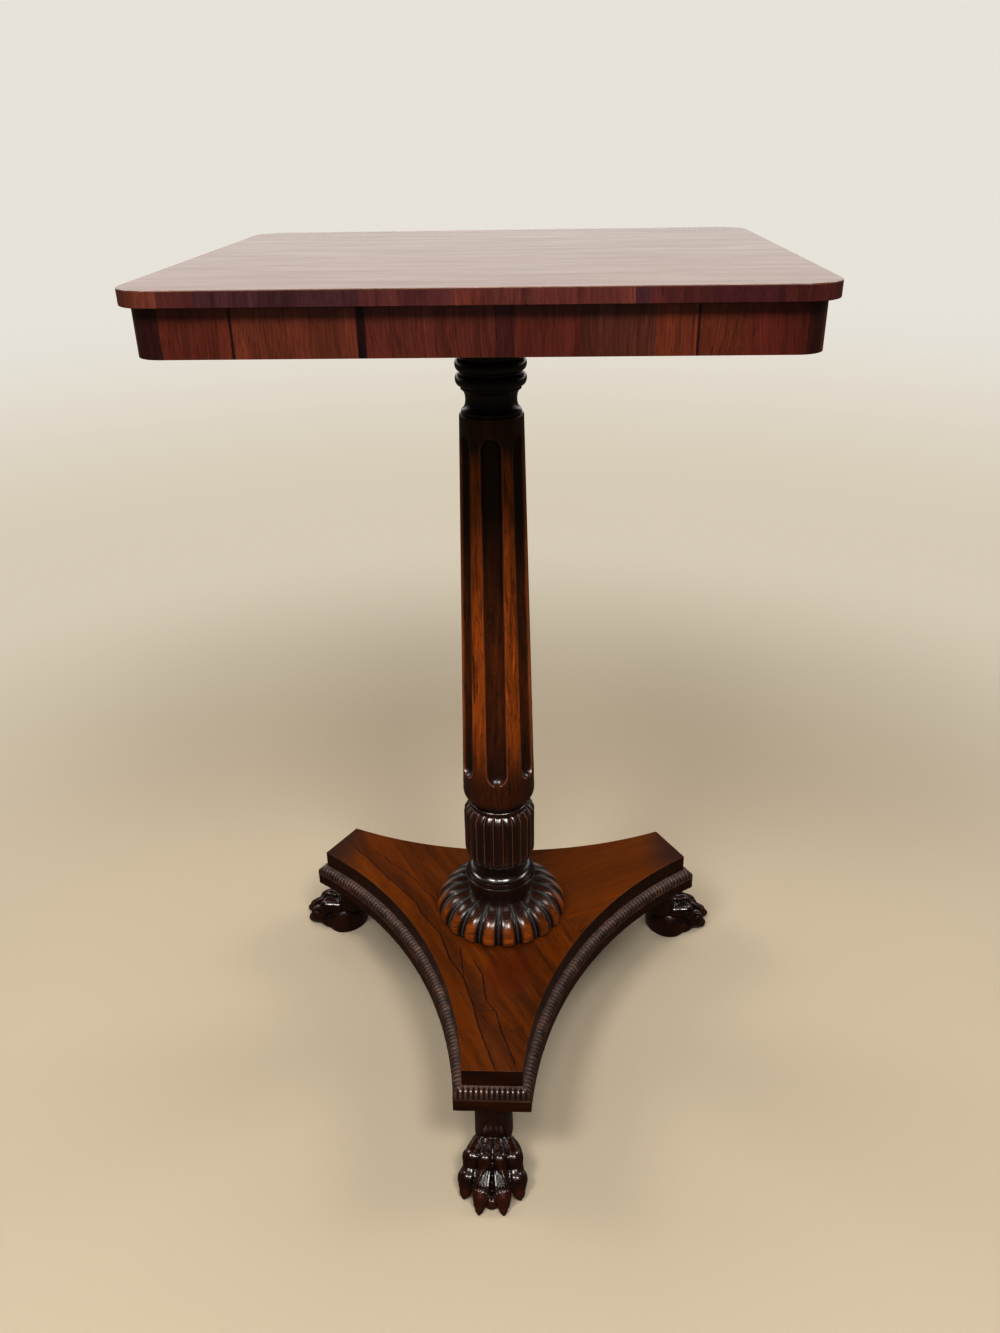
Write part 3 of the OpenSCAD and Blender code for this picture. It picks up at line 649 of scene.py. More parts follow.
class PEDESTAL_TABLE_OT_top(TableOperator, bpy.types.Operator):
    """Top sheet, cross-banded edge and frieze"""
    bl_idname = "pedestal_table.top"
    bl_label = "Top and frieze"

    def make(self, scene):
        sizes, finishes = scene.table_top, scene.table_finishes
        sheet = rounded_block("rosewood_top_sheet", SHEET_LOW, SHEET_HIGH, sizes.corner)
        with edit(sheet):
            round_edges(sheet, level_with(SHEET_HIGH.z), sizes.arris)
        band = rounded_block("slab_edge_band", SLAB_LOW, SLAB_HIGH, sizes.corner)
        with edit(band):
            open_through(band, sizes.wall)
            round_edges(band, self.on_lower_outside, sizes.arris * 0.8)
        inset = FRIEZE_HIGH.x - SLAB_HIGH.x
        frieze = rounded_block("frieze_veneer_ring", FRIEZE_LOW, FRIEZE_HIGH, sizes.corner + inset)
        with edit(frieze):
            open_through(frieze, sizes.wall)
        finished(shaded(sheet), top_rosewood(finishes), "top_veneer")
        finished(shaded(band), edge_rosewood(finishes), "slab_edge_banding")
        finished(shaded(frieze), frieze_rosewood(finishes), "frieze_veneer")

    @staticmethod
    def on_lower_outside(edge):
        """True for the band's lower edges with a face that looks away from the table's middle."""
        middle = (edge.verts[0].co + edge.verts[1].co) / 2
        outward = Vector((middle.x, middle.y, 0)).normalized()
        return level_with(SLAB_LOW.z)(edge) and any(
            abs(face.normal.z) < 0.1 and face.normal.dot(outward) > 0 for face in edge.link_faces)


# Heights of the neck's bore, shoulder, hollow and two beads above its foot
NECK_BORE, NECK_SHOULDER = 0.0322, 0.022
NECK_HOLLOW, NECK_BEADS = (0.0028, 0.0192), ((0.0221, 0.0318), (0.0336, 0.0434))


class PEDESTAL_TABLE_OT_neck(TableOperator, bpy.types.Operator):
    """Turned neck with two beads and a hollow, tenoned into the block"""
    bl_idname = "pedestal_table.neck"
    bl_label = "Neck"

    def make(self, scene):
        sizes = scene.table_pillar
        foot, block, crown = NECK_LOW.z, BLOCK_LOW.z, NECK_HIGH.z
        bore, fillet, waist = sizes.spigot + CLEARANCE, sizes.neck_fillet, sizes.neck_waist
        outline = [(0, foot + NECK_BORE), (bore, foot + NECK_BORE), (bore, foot), (fillet, foot)]
        hollow_low, hollow_high = (foot + z for z in NECK_HOLLOW)
        outline += swell(fillet, sizes.neck_hollow - fillet, hollow_low, hollow_high, 16)
        outline += [(fillet, foot + NECK_SHOULDER), (waist, foot + NECK_SHOULDER)]
        for low, high in NECK_BEADS:
            outline += swell(waist, sizes.neck_bead - waist, foot + low, foot + high)
        outline += [(waist, block), (sizes.neck_tenon, block), (sizes.neck_tenon, crown), (0, crown)]
        neck = turned("turned_neck", rounded(outline, 0.0005), 96)
        finished(shaded(neck), neck_wood(scene.table_finishes), "neck_collar")


# Columns of points to a flute, and from a flute's middle to its arris
FLUTE_COLUMNS, ARRIS_COLUMN = 28, 8
# The shaft's rounded foot, how high and how far in, and the width and depth of wear on an arris
FOOT_RISE, FOOT_IN = 0.0095, 0.0062
ARRIS_WIDTH, ARRIS_WEAR = 0.0007, 0.00022


class PEDESTAL_TABLE_OT_shaft(TableOperator, bpy.types.Operator):
    """Tapered shaft, hollowed by stopped flutes, with its two tenons"""
    bl_idname = "pedestal_table.shaft"
    bl_label = "Fluted shaft"

    def make(self, scene):
        sizes = scene.table_pillar
        foot, head = BULB_HIGH.z, NECK_LOW.z
        chamfer = 0.0016
        rise = head - foot - FOOT_RISE
        slope = (sizes.shaft_foot + sizes.flute_foot - sizes.shaft_top - sizes.flute_top) / rise
        low_ball = foot + sizes.flute_tail + sizes.flute_foot
        high_ball = head - sizes.flute_head - sizes.flute_top
        reach_low = sizes.shaft_foot + sizes.flute_foot - sizes.flute_depth
        reach_low -= (sizes.flute_tail + sizes.flute_foot - FOOT_RISE) * slope

        def skin_radius(z):
            return sizes.shaft_foot - (sizes.shaft_foot - sizes.shaft_top) * (z - foot - FOOT_RISE) / rise

        def tool(z):
            """The hollowing tool at a height: how far from the axis, and its radius."""
            t = np.clip((z - low_ball) / (high_ball - low_ball), 0, 1)
            full = sizes.flute_foot + (sizes.flute_top - sizes.flute_foot) * t
            past = np.maximum(low_ball - z, 0) + np.maximum(z - high_ball, 0)
            centre = reach_low - slope * (np.clip(z, low_ball, high_ball) - low_ball)
            return centre, np.sqrt(np.maximum(full ** 2 - past ** 2, 0))

        def flute_end(ball, sign):
            """How far past the ball's middle the flute runs out."""
            centre, full = tool(ball)
            drop = 0.0
            for _ in range(30):
                gap = centre - skin_radius(ball + sign * drop)
                drop = math.sqrt(max(full ** 2 - gap ** 2, 0))
            return drop

        low_end, high_end = flute_end(low_ball, -1), flute_end(high_ball, 1)
        curve = [math.sin(a) for a in quarter(16)]
        levels = between(foot + FOOT_RISE, low_ball - low_end, 6)
        levels += [low_ball - low_end * q for q in reversed(curve)]
        levels += between(low_ball, high_ball, 40)
        levels += [high_ball + high_end * q for q in curve]
        levels += between(high_ball + high_end, head - chamfer, 4)
        outline = [(0, SHAFT_LOW.z), (sizes.tenon, SHAFT_LOW.z), (sizes.tenon, foot)]
        outline += [(sizes.shaft_foot - FOOT_IN * (1 - math.sin(a)), foot + FOOT_RISE * (1 - math.cos(a)))
                    for a in quarter(8)]
        outline += [(skin_radius(z), z) for z in levels]
        outline += [(sizes.shaft_top, head - chamfer), (sizes.shaft_top - 0.0005, head - 0.0005),
                    (sizes.shaft_top - chamfer, head), (sizes.spigot, head), (sizes.spigot, SHAFT_HIGH.z),
                    (0, SHAFT_HIGH.z)]
        shaft = turned("fluted_shaft_turning", outline, FLUTE_COLUMNS * sizes.flutes)

        co = points_of(shaft)
        z, radius = co[:, 2], np.hypot(co[:, 0], co[:, 1])
        pitch = 2 * math.pi / sizes.flutes
        column = columns_of(co, FLUTE_COLUMNS * sizes.flutes)
        flute = np.rint(column / FLUTE_COLUMNS)
        side = column - flute * FLUTE_COLUMNS
        step = np.abs(side)
        skin = (z > foot + FOOT_RISE * 1.05) & (z < head - 0.0018) & (radius > sizes.spigot * 1.5)
        centre, cut = tool(z)
        half = (radius ** 2 + centre ** 2 - cut ** 2) / np.maximum(2 * radius * centre, 1e-9)
        open_angle = np.where(half < 1, np.arccos(np.clip(half, -1, 1)), 0)
        past = np.maximum(low_ball - low_end - z, z - high_ball - high_end)
        wide = np.maximum(0.3 * blend_step(0.0, 0.012, past), 0.012)
        open_angle = np.where(skin, np.maximum(open_angle, wide), 0.3)
        near = ARRIS_WIDTH / np.maximum(radius, 0.01)
        share = np.clip((step - ARRIS_COLUMN - 1) / (FLUTE_COLUMNS / 2 - ARRIS_COLUMN - 1), 0, 1)
        outside = open_angle + near + (pitch / 2 - open_angle - near) * share
        inside = np.where(step == ARRIS_COLUMN - 1, np.maximum(open_angle - near, open_angle * 0.9),
                          open_angle * step / ARRIS_COLUMN)
        offset = np.where(step <= ARRIS_COLUMN, inside, outside) * np.sign(side)
        reach = centre * np.cos(offset) - np.sqrt(np.maximum(cut ** 2 - (centre * np.sin(offset)) ** 2, 0))
        hollowed = skin & (half < 1) & (step < ARRIS_COLUMN) & (cut > 0)
        worn = skin & (half < 1) & (step == ARRIS_COLUMN)
        new_radius = np.where(hollowed, np.minimum(reach, radius), radius) - ARRIS_WEAR * worn
        depth = np.where(hollowed, (radius - new_radius) / sizes.flute_depth, 0)
        move_round(shaft, co, skin, new_radius, FRONT + flute * pitch + offset)
        paint(shaft, "hollow", np.clip(depth * 1.2, 0, 1))
        paint(shaft, "arris", worn)
        finished(shaded(shaft, 40), shaft_rosewood(scene.table_finishes), "fluted_shaft")


def lobed(obj, lobes, spots, depth_at, drop, first):
    """Moves a turning's columns to the spots of its lobes and sinks them between the crests."""
    co = points_of(obj)
    radius = np.hypot(co[:, 0], co[:, 1])
    total = lobes * len(spots)
    lobe, index = np.divmod(columns_of(co, total) % total, len(spots))
    spot = np.array(spots)[index]
    share = np.array([drop(min(t, 1 - t)) for t in spots])[index]
    depth = depth_at(radius, co[:, 2])
    angle = FRONT + (lobe + spot + first) * 2 * math.pi / lobes
    move_round(obj, co, radius > 1e-6, np.maximum(radius - depth * share, radius * 0.2), angle)
    paint(obj, "hollow", np.clip(share * np.clip(depth / depth.max() * 1.6, 0, 1), 0, 1))
    paint(obj, "fillet", ((spot < 0.04) | (spot > 0.96)) & (depth > depth.max() * 0.3))


class PEDESTAL_TABLE_OT_bulb(TableOperator, bpy.types.Operator):
    """Reeded bulb with a bead and a groove above it"""
    bl_idname = "pedestal_table.bulb"
    bl_label = "Reeded bulb"

    def make(self, scene):
        sizes = scene.table_pillar
        foot, crown = BULB_LOW.z, BULB_HIGH.z
        top = foot + sizes.bulb_height
        bore, head, groove, bead, bead_high = sizes.tenon + CLEARANCE, 0.0283, 0.027, 0.0295, 0.0055
        lower, upper, flat = 0.0157, 0.0075, 0.75
        outline = [(bore, crown), (bore, foot)]
        outline += [(sizes.bulb_rim + (sizes.bulb - sizes.bulb_rim) * math.sin(a),
                     foot + lower * (1 - math.cos(a))) for a in quarter(14)]
        outline += [(sizes.bulb, z) for z in between(foot + lower, top - upper, 10)]
        for a in quarter(10):
            t = a / (math.pi / 2)
            outline.append((head + (sizes.bulb - head) * ((1 - flat) * math.cos(a) + flat * (1 - t)),
                            top - upper * (1 - (1 - flat) * math.sin(a) - flat * t)))
        outline += [(groove, top)] + swell(groove, bead - groove, top, top + bead_high)
        outline += [(groove, crown), (bore, crown)]
        spots = [0.0, 0.035, 0.06, 0.10, 0.16, 0.24, 0.36, 0.5, 0.64, 0.76, 0.84, 0.90, 0.94, 0.965]
        bulb = turned("reeded_bulb_carving", outline, sizes.reeds * len(spots))

        def drop(t):
            """How deep a reed's section lies: a fillet in the groove, and a flat round between grooves."""
            if t < 0.05:
                return 0.45 if t < 0.01 else 0.62
            return 0.96 * (1 - (1 - (1 - (t - 0.05) / 0.45) ** 2.6) ** (1 / 2.6)) + 0.04

        def depth_at(radius, z):
            rise = np.clip((z - foot) / lower, 0, 1)
            fall = np.clip((top + 0.0002 - z) / upper, 0, 1)
            shape = np.sqrt(rise * (2 - rise)) * 0.7 + 0.3
            shape *= np.sqrt(fall * (2 - fall)) * 0.65 + 0.35
            plain = (radius < sizes.bulb_rim - 0.001) | (z > top + 0.00005) | (radius < groove + 0.0001)
            return np.where(plain, 0, sizes.reed_depth * shape * 1.3)

        lobed(bulb, sizes.reeds, spots, depth_at, drop, 0.5)
        finished(shaded(bulb, 60), carved_rosewood(scene.table_finishes), "reeded_bulb")


class PEDESTAL_TABLE_OT_collar(TableOperator, bpy.types.Operator):
    """Turned collar with a plain band, a raised edge and a hollow"""
    bl_idname = "pedestal_table.collar"
    bl_label = "Ring collar"

    def make(self, scene):
        sizes = scene.table_pillar
        foot, crown = COLLAR_LOW.z, COLLAR_HIGH.z
        bore, ridge, hollow = sizes.tenon + CLEARANCE, 0.0326, 0.0236
        band, edge, rim = foot + 0.0177, foot + 0.0223, crown - 0.0019
        outline = [(bore, crown), (bore, foot), (sizes.band, foot), (sizes.band, band),
                   (ridge - 0.0006, band), (ridge, band + 0.0008)]
        outline += [(ridge - (ridge - hollow) * math.sin(a), edge + (rim - edge) * (1 - math.cos(a)))
                    for a in quarter(18)]
        outline += [(sizes.bulb_rim, rim + 0.0002), (sizes.bulb_rim, crown), (bore, crown)]
        collar = turned("ring_collar_turning", rounded(outline, 0.0007), 96)
        finished(shaded(collar), collar_rosewood(scene.table_finishes), "ring_collar")


class PEDESTAL_TABLE_OT_dome(TableOperator, bpy.types.Operator):
    """Gadrooned dome: rounded lobes with a raised fillet in each valley"""
    bl_idname = "pedestal_table.dome"
    bl_label = "Gadrooned dome"

    def make(self, scene):
        sizes = scene.table_pillar
        foot, crown = DOME_LOW.z, DOME_HIGH.z
        bore, spring = sizes.tenon + CLEARANCE, foot + 0.004
        outline = [(bore, crown), (bore, foot), (sizes.dome - 0.0036, foot),
                   (sizes.dome - 0.0016, foot + 0.0006), (sizes.dome - 0.0004, foot + 0.002)]
        outline += [(sizes.dome_head + (sizes.dome - sizes.dome_head) * math.cos(a),
                     spring + (crown - spring) * math.sin(a)) for a in quarter(30)]
        outline += [(bore, crown)]
        spots = [0.0, 0.03, 0.055, 0.08, 0.105, 0.125, 0.16, 0.22, 0.32, 0.44,
                 0.56, 0.68, 0.78, 0.84, 0.875, 0.895, 0.92, 0.945]
        dome = turned("gadrooned_dome_carving", outline, sizes.lobes * len(spots))

        def drop(t):
            """How deep a lobe's section lies: a raised fillet, the valley's floor, and the round lobe."""
            if t < 0.04:
                return 0.50 if t < 0.01 else 0.60
            if t < 0.11:
                return 1.0
            return 1 - math.sqrt(max(0, 1 - (1 - (t - 0.11) / 0.39) ** 2)) ** 0.9

        def depth_at(radius, z):
            level = np.clip((z - spring) / (crown - spring), 0, 1)
            shape = 0.4 + 0.6 * np.sqrt(np.maximum(1 - level ** 2, 0))
            return np.where(radius < sizes.dome_head - 0.0002, 0, sizes.lobe_depth * shape)

        lobed(dome, sizes.lobes, spots, depth_at, drop, 0.0)
        finished(shaded(dome, 60), dome_rosewood(scene.table_finishes), "gadrooned_dome")


def hollow_side(sizes):
    """Radius of the plinth's hollow sides and how far their middles lie from the pillar's axis."""
    middle = sizes.reach * 0.5 + sizes.arm / 2 * COS_30
    half = sizes.reach * COS_30 - sizes.arm / 4
    sag = middle - sizes.waist
    radius = (half ** 2 + sag ** 2) / (2 * sag)
    return radius, sizes.waist + radius


def end_half(sizes, out):
    """Half the width of an arm's end where the outline is moved out."""
    radius, middle = hollow_side(sizes)
    return middle * COS_30 - math.sqrt((radius - out) ** 2 - (sizes.reach + out - middle * 0.5) ** 2)


def side_span(sizes, out):
    """Half the angle that a hollow side takes up round its centre, where the outline is moved out."""
    radius, _ = hollow_side(sizes)
    return math.asin(((sizes.reach + out) * COS_30 - end_half(sizes, out) / 2) / (radius - out))


def plinth_slab(name, sizes, low, high, steps=48):
    """The plinth's plan, arm by arm with a hollow side between each two, raised to a slab."""
    middle, half = hollow_side(sizes)[1], end_half(sizes, 0)
    points = []
    for arm in (FRONT, FRONT + THIRD, FRONT + 2 * THIRD):
        centre = Vector((math.cos(arm + THIRD / 2), math.sin(arm + THIRD / 2))) * middle
        start = Matrix.Rotation(arm, 2) @ Vector((sizes.reach, half)) - centre
        end = Matrix.Rotation(arm + THIRD, 2) @ Vector((sizes.reach, -half)) - centre
        sweep = start.angle(end)
        for i in range(steps + 1):
            point = centre + Matrix.Rotation(-sweep * i / steps, 2) @ start
            points.append((point.x, point.y, low))
    slab = drawn(name, points, closed=True)
    with edit(slab):
        bpy.ops.mesh.extrude_region_move(TRANSFORM_OT_translate={"value": (0, 0, high - low)})
        point_faces()
    return slab


class PEDESTAL_TABLE_OT_plinth(TableOperator, bpy.types.Operator):
    """Veneered top and sides of the plinth, and its base board"""
    bl_idname = "pedestal_table.plinth"
    bl_label = "Plinth"

    def make(self, scene):
        sizes, finishes = scene.table_plinth, scene.table_finishes
        deck = plinth_slab("plinth_top_sheet", sizes, DECK_LOW.z, DECK_HIGH.z)
        with edit(deck):
            round_edges(deck, level_with(DECK_HIGH.z), sizes.arris * 0.8)
        wall = plinth_slab("plinth_side_sheet", sizes, SIDE_LOW.z, SIDE_HIGH.z)
        with edit(wall):
            open_through(wall, scene.table_top.wall)
            round_edges(wall, lambda e: upright(e) and e.calc_face_angle(0) > 0.7, sizes.arris / 2, 2)
        base = self.softened("plinth_base_board", "plinth_base_board_softened", sizes.arris)
        finished(shaded(deck), deck_rosewood(finishes), "plinth_top_veneer")
        finished(shaded(wall), side_rosewood(finishes), "plinth_side_veneer")
        finished(shaded(base), base_rosewood(finishes), "plinth_base_board")

    def softened(self, node, name, width):
        """A CAD node's shape with its points merged, its flat faces joined and its edges rounded."""
        obj = bpy.data.objects.new(name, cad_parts[node].data.copy())
        bpy.context.collection.objects.link(obj)
        obj.data.name = name
        with edit(obj):
            merge(2e-6)
            bpy.ops.mesh.dissolve_limited(angle_limit=math.radians(0.3))
            point_faces()
        return modified(obj, "BEVEL", width=width, segments=3, limit_method="ANGLE",
                        angle_limit=math.radians(32), use_clamp_overlap=True)


# Steps of the mesh along each rib, how deep the grooves between the ribs are, and the bead's back
RIB_STEPS, RIB_DEPTH, BEAD_BACK = 6, 0.0011, -0.0009


class PEDESTAL_TABLE_OT_beads(TableOperator, bpy.types.Operator):
    """Ribbed bead mouldings along the hollow sides and across the arms' ends"""
    bl_idname = "pedestal_table.beads"
    bl_label = "Beads"

    def make(self, scene):
        sizes, finishes = scene.table_plinth, scene.table_finishes
        matt, polished = bead_rosewood(finishes), bead_rosewood(finishes, 0.26, 0.7)
        on_three_arms(self.side_bead(sizes), matt,
                      ("bead_right_side", "bead_back_side", "bead_left_side"), "_ribbed")
        on_three_arms(self.end_bead(sizes), polished,
                      ("bead_front_end", "bead_right_end", "bead_left_end"), "_ribbed")

    def section(self, sizes):
        """Section as [distance out from the plinth's side, height], from the back and round the face."""
        low, high, out = BEAD_LOW.z, BEAD_HIGH.z, sizes.bead_out
        shoulder = low + (high - low) * 0.3
        face = [(out * math.cos(a) + 0.0006 * math.sin(a), shoulder + (high - shoulder) * math.sin(a))
                for a in quarter(12, 1)]
        return [(BEAD_BACK, low), (out * 0.5, low), (out, low), (out, (low + shoulder) / 2),
                (out, shoulder)] + face + [(BEAD_BACK, high)]

    def mitre(self, sizes, span):
        """Where the mitres cut a bead, for points that stand out by as much as is asked."""
        table = np.linspace(-0.001, sizes.bead_out + 0.0005, 20)
        return lambda out: np.interp(out, table, [span(sizes, step) for step in table])

    def side_bead(self, sizes):
        """The bead between the front and the right arm, spun about the middle of the hollow side."""
        radius, middle = hollow_side(sizes)
        limit = self.mitre(sizes, side_span)
        half = max(limit(0), limit(sizes.bead_out))
        ribs = 2 * round(radius * half / sizes.rib)
        way = FRONT + THIRD / 2
        back = way + math.pi
        centre = Vector((math.cos(way) * middle, math.sin(way) * middle, 0))
        points = [(centre.x + (radius - out) * math.cos(back - half),
                   centre.y + (radius - out) * math.sin(back - half), z) for out, z in self.section(sizes)]
        bead = drawn("bead_right_side_ribbed", points + [points[0]])
        with edit(bead):
            merge(1e-6)
            bpy.ops.mesh.spin(steps=ribs * RIB_STEPS, angle=2 * half, center=centre, axis=(0, 0, 1))

        def where(co):
            x, y = co[:, 0] - centre.x, co[:, 1] - centre.y
            return radius - np.hypot(x, y), (np.arctan2(y, x) - back + math.pi) % (2 * math.pi) - math.pi

        co = points_of(bead)
        out, along = where(co)
        if along.min() < -half - 0.01:
            along += 2 * half
        along = np.clip(along, -limit(out), limit(out))
        co[:, 0] = centre.x + (radius - out) * np.cos(back + along)
        co[:, 1] = centre.y + (radius - out) * np.sin(back + along)
        move_points(bead, co)
        return self.ribbed(bead, where, limit, half, ribs, radius)

    def end_bead(self, sizes):
        """The bead across the front arm's end, extruded along it."""
        limit = self.mitre(sizes, end_half)
        half = limit(sizes.bead_out)
        ribs = round(2 * half / sizes.rib)
        points = [(-half, -sizes.reach - out, z) for out, z in self.section(sizes)]
        step = (2 * half / (ribs * RIB_STEPS), 0, 0)
        bead = drawn("bead_front_end_ribbed", points + [points[0]])
        with edit(bead):
            merge(1e-6)
            for _ in range(ribs * RIB_STEPS):
                bpy.ops.mesh.extrude_region_move(TRANSFORM_OT_translate={"value": step})

        def where(co):
            return -co[:, 1] - sizes.reach, co[:, 0]

        co = points_of(bead)
        outside = limit(where(co)[0])
        co[:, 0] = np.clip(co[:, 0], -outside, outside)
        move_points(bead, co)
        return self.ribbed(bead, where, limit, half, ribs, 1)

    def ribbed(self, bead, where, limit, half, ribs, unit):
        """Closes a bead's ends and sinks the grooves between its ribs.

        where tells how far out and along points are, and unit is one step along in metres."""
        with edit(bead):
            merge(1e-6)
            bpy.ops.mesh.fill_holes(sides=0)
            point_faces()
        smooth(bead)
        co = points_of(bead)
        out, along = where(co)
        face = blend_step(0.0002, 0.0022, out) * blend_step(0.0004, 0.0022, co[:, 2] - BEAD_LOW.z)
        face *= blend_step(0, 0.0008, (limit(out) - np.abs(along)) * unit)
        groove = (1 - np.abs(np.sin(math.pi * (along / half + 1) / 2 * ribs))) * face
        paint(bead, "hollow", groove)
        move_points(bead, co - normals_of(bead) * (RIB_DEPTH * groove)[:, None])
        return shaded(bead, 60)


def metres(millimetres):
    return [value * 0.001 for value in millimetres]


def ball(centre, radii, segments=24):
    """An ellipsoid, as one lump of the paw, in millimetres."""
    bpy.ops.mesh.primitive_uv_sphere_add(segments=segments, ring_count=segments // 2, radius=1,
                                         location=metres(centre), scale=metres(radii))
    return bpy.context.object


def rod(start, end, start_radius, end_radius):
    """A tapered lump between two points."""
    start, end = Vector(start), Vector(end)
    way = end - start
    bpy.ops.mesh.primitive_cone_add(vertices=24, radius1=start_radius, radius2=end_radius, depth=way.length,
                                    location=(start + end) / 2,
                                    rotation=way.to_track_quat("Z", "Y").to_euler())
    return bpy.context.object


def chain(balls):
    """Balls given as [x, y, z, radius], joined by tapered lumps, in millimetres."""
    made = [ball((x, y, z), (r,) * 3) for x, y, z, r in balls]
    for a, b in zip(balls, balls[1:]):
        made.append(rod(metres(a[:3]), metres(b[:3]), a[3] * 0.001, b[3] * 0.001))
    return made


# Lumps of the paw as [forward, sideways, up, radius] in millimetres from the ankle's foot, toes forward
INNER_TOE = [(12, 4.4, 30, 8.2), (20, 5.0, 29.5, 7.4), (29.5, 6.2, 28.5, 8.8), (34, 6.8, 23, 7.2),
             (38, 7.6, 18.8, 8.0), (45, 8.7, 14, 8.2), (52, 9.4, 9, 7.4)]
INNER_CLAW = [(50, 9.4, 8.4, 7.6), (55, 9.9, 5.8, 6), (59.5, 10.3, 3.4, 3.8), (62.4, 10.6, 1.8, 1.6)]
OUTER_TOE = [(12, 12, 27, 7.6), (18, 14.5, 27, 7.6), (25.5, 17.6, 25.5, 9.2), (30, 18.8, 19, 7.4),
             (36.5, 20.4, 12.4, 10.2)]
OUTER_CLAW = [(39.5, 21.8, 8.8, 7.8), (44.5, 23.2, 5.2, 5.4), (47.6, 24.2, 2.6, 2.2)]
# Pads under and behind the toes, each as its centre and half lengths
PADS = [((2, 0, 33.5), (16.8, 16.8, 9)), ((11, 0, 6), (21.5, 26, 25)), ((24, 0, 7), (25, 27, 16)),
        ((46, 0, 4), (13, 9.5, 8.0)), ((14, 0, 24.6), (20, 17, 15))]


class PEDESTAL_TABLE_OT_paws(TableOperator, bpy.types.Operator):
    """Carved paw, modelled once with its toes forward and copied to the three arms"""
    bl_idname = "pedestal_table.paws"
    bl_label = "Paws"

    def make(self, scene):
        sizes = scene.table_paw
        top = PAW_HIGH.z
        lumps = [rod((0, 0, 0.030), (0, 0, BASE_LOW.z), sizes.ankle * 1.03, sizes.ankle),
                 rod((0, 0, BASE_LOW.z - 0.001), (0, 0, top), 0.009, 0.009)]
        lumps += [ball(centre, radii, 48) for centre, radii in PADS]
        for sign in (1, -1):
            for balls in (INNER_TOE, INNER_CLAW, OUTER_TOE, OUTER_CLAW):
                lumps += chain([(x, sign * y, z, r) for x, y, z, r in balls])
        only(*lumps)
        bpy.ops.object.join()
        paw = settle(bpy.context.object, "front_paw_carving")
        modified(paw, "REMESH", mode="VOXEL", voxel_size=sizes.grain)
        modified(paw, "SMOOTH", factor=0.5, iterations=round(0.0036 / sizes.grain))
        smooth(paw)
        cut = self.carve(paw)
        modified(paw, "SMOOTH", factor=0.3, iterations=1)
        co = points_of(paw)
        co[:, 2] = np.clip(co[:, 2], 0, top)
        move_points(paw, co)
        hollow = hollowness(paw, round(0.0064 / sizes.grain), 0.0011)
        paint(paw, "hollow", np.maximum(hollow, np.clip(0.45 + cut * 0.5, 0, 1) * (cut > 0.2)))
        forward = co[:, 0] * 1000 + 0.35 * np.abs(co[:, 1] * 1000)
        paint(paw, "claw", blend_step(52.5, 55.5, forward))
        reach = scene.table_plinth.reach - sizes.inset
        paw.data.transform(Matrix.Rotation(FRONT, 4, "Z") @ Matrix.Translation((reach, 0, 0)))
        smooth(paw)
        on_three_arms(paw, paw_rosewood(scene.table_finishes),
                      ("front_paw", "right_paw", "left_paw"), "_carving")

    def carve(self, obj):
        """Sinks the gouge cuts into what faces up or forward, and gives the depths in millimetres."""
        co, no = points_of(obj) * 1000, normals_of(obj)
        sink = np.zeros(len(co))
        for line, width, depth in self.cuts():
            line = np.array(line, dtype=float)
            nearest = np.full(len(co), 1e9)
            for a, b in zip(line, line[1:]):
                way = b - a
                t = np.clip(((co[:, :2] - a) @ way) / (way @ way), 0, 1)
                nearest = np.minimum(nearest, np.linalg.norm(co[:, :2] - a - t[:, None] * way, axis=1))
            sink = np.maximum(sink, depth * np.exp(-(nearest / width) ** 2))
        sink *= blend_step(0.05, 0.4, no[:, 2])
        sink *= blend_step(1.0, 4.0, co[:, 2]) * blend_step(56, 52, co[:, 2])
        move_points(obj, (co - no * sink[:, None]) / 1000)
        return sink

    def cuts(self):
        """Gouge cuts as (points in plan, width, depth) in millimetres, with the toes towards +X."""
        cuts = [([(16, 0), (54, 0)], 1.0, 1.4)]
        for s in (1, -1):
            cuts.append(([(12, 8.6 * s), (24, 11.0 * s), (32, 12.8 * s), (40, 14.6 * s), (47, 17.2 * s)],
                         1.1, 1.5))
            cuts.append(([(14, 22 * s), (22, 24.5 * s), (30, 26 * s), (40, 27.5 * s)], 1.0, 0.6))
            for k in range(4):
                fan = [(38 + 1.5 * k, (2.0 + 1.9 * k) * s), (53 - 0.6 * k, (4.6 + 2.9 * k) * s)]
                cuts.append((fan, 0.7, 1.3))
        return cuts


class PEDESTAL_TABLE_OT_underside(TableOperator, bpy.types.Operator):
    """Finishes of the inner pieces, which keep their own shapes"""
    bl_idname = "pedestal_table.underside"
    bl_label = "Inner pieces"

    def make(self, scene):
        finishes = scene.table_finishes
        groups = (
            (bare_wood("bare_pine_x", finishes.pine, "X"),
             ("top_board", "front_rail", "back_rail", "glue_blocks", "plinth_core")),
            (bare_wood("bare_pine_y", finishes.pine, "Y"), ("left_rail", "right_rail")),
            (bare_wood("bare_pine_z", finishes.pine, "Z"),
             ("corner_block_front_left", "corner_block_front_right",
              "corner_block_back_left", "corner_block_back_right")),
            (bare_wood("bare_mahogany", finishes.mahogany, "Y"),
             ("left_bearer", "right_bearer", "pillar_block")),
            (bare_wood("bare_oak", finishes.oak, "Z"), ("tenon_wedge", "pillar_wedge")),
            (old_iron("old_iron", finishes.iron), ("bearer_screws", "block_screws", "base_screws")),
        )
        for material, nodes in groups:
            for node in nodes:
                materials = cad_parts[node].data.materials
                materials.clear()
                materials.append(material)


# The finishes of this table

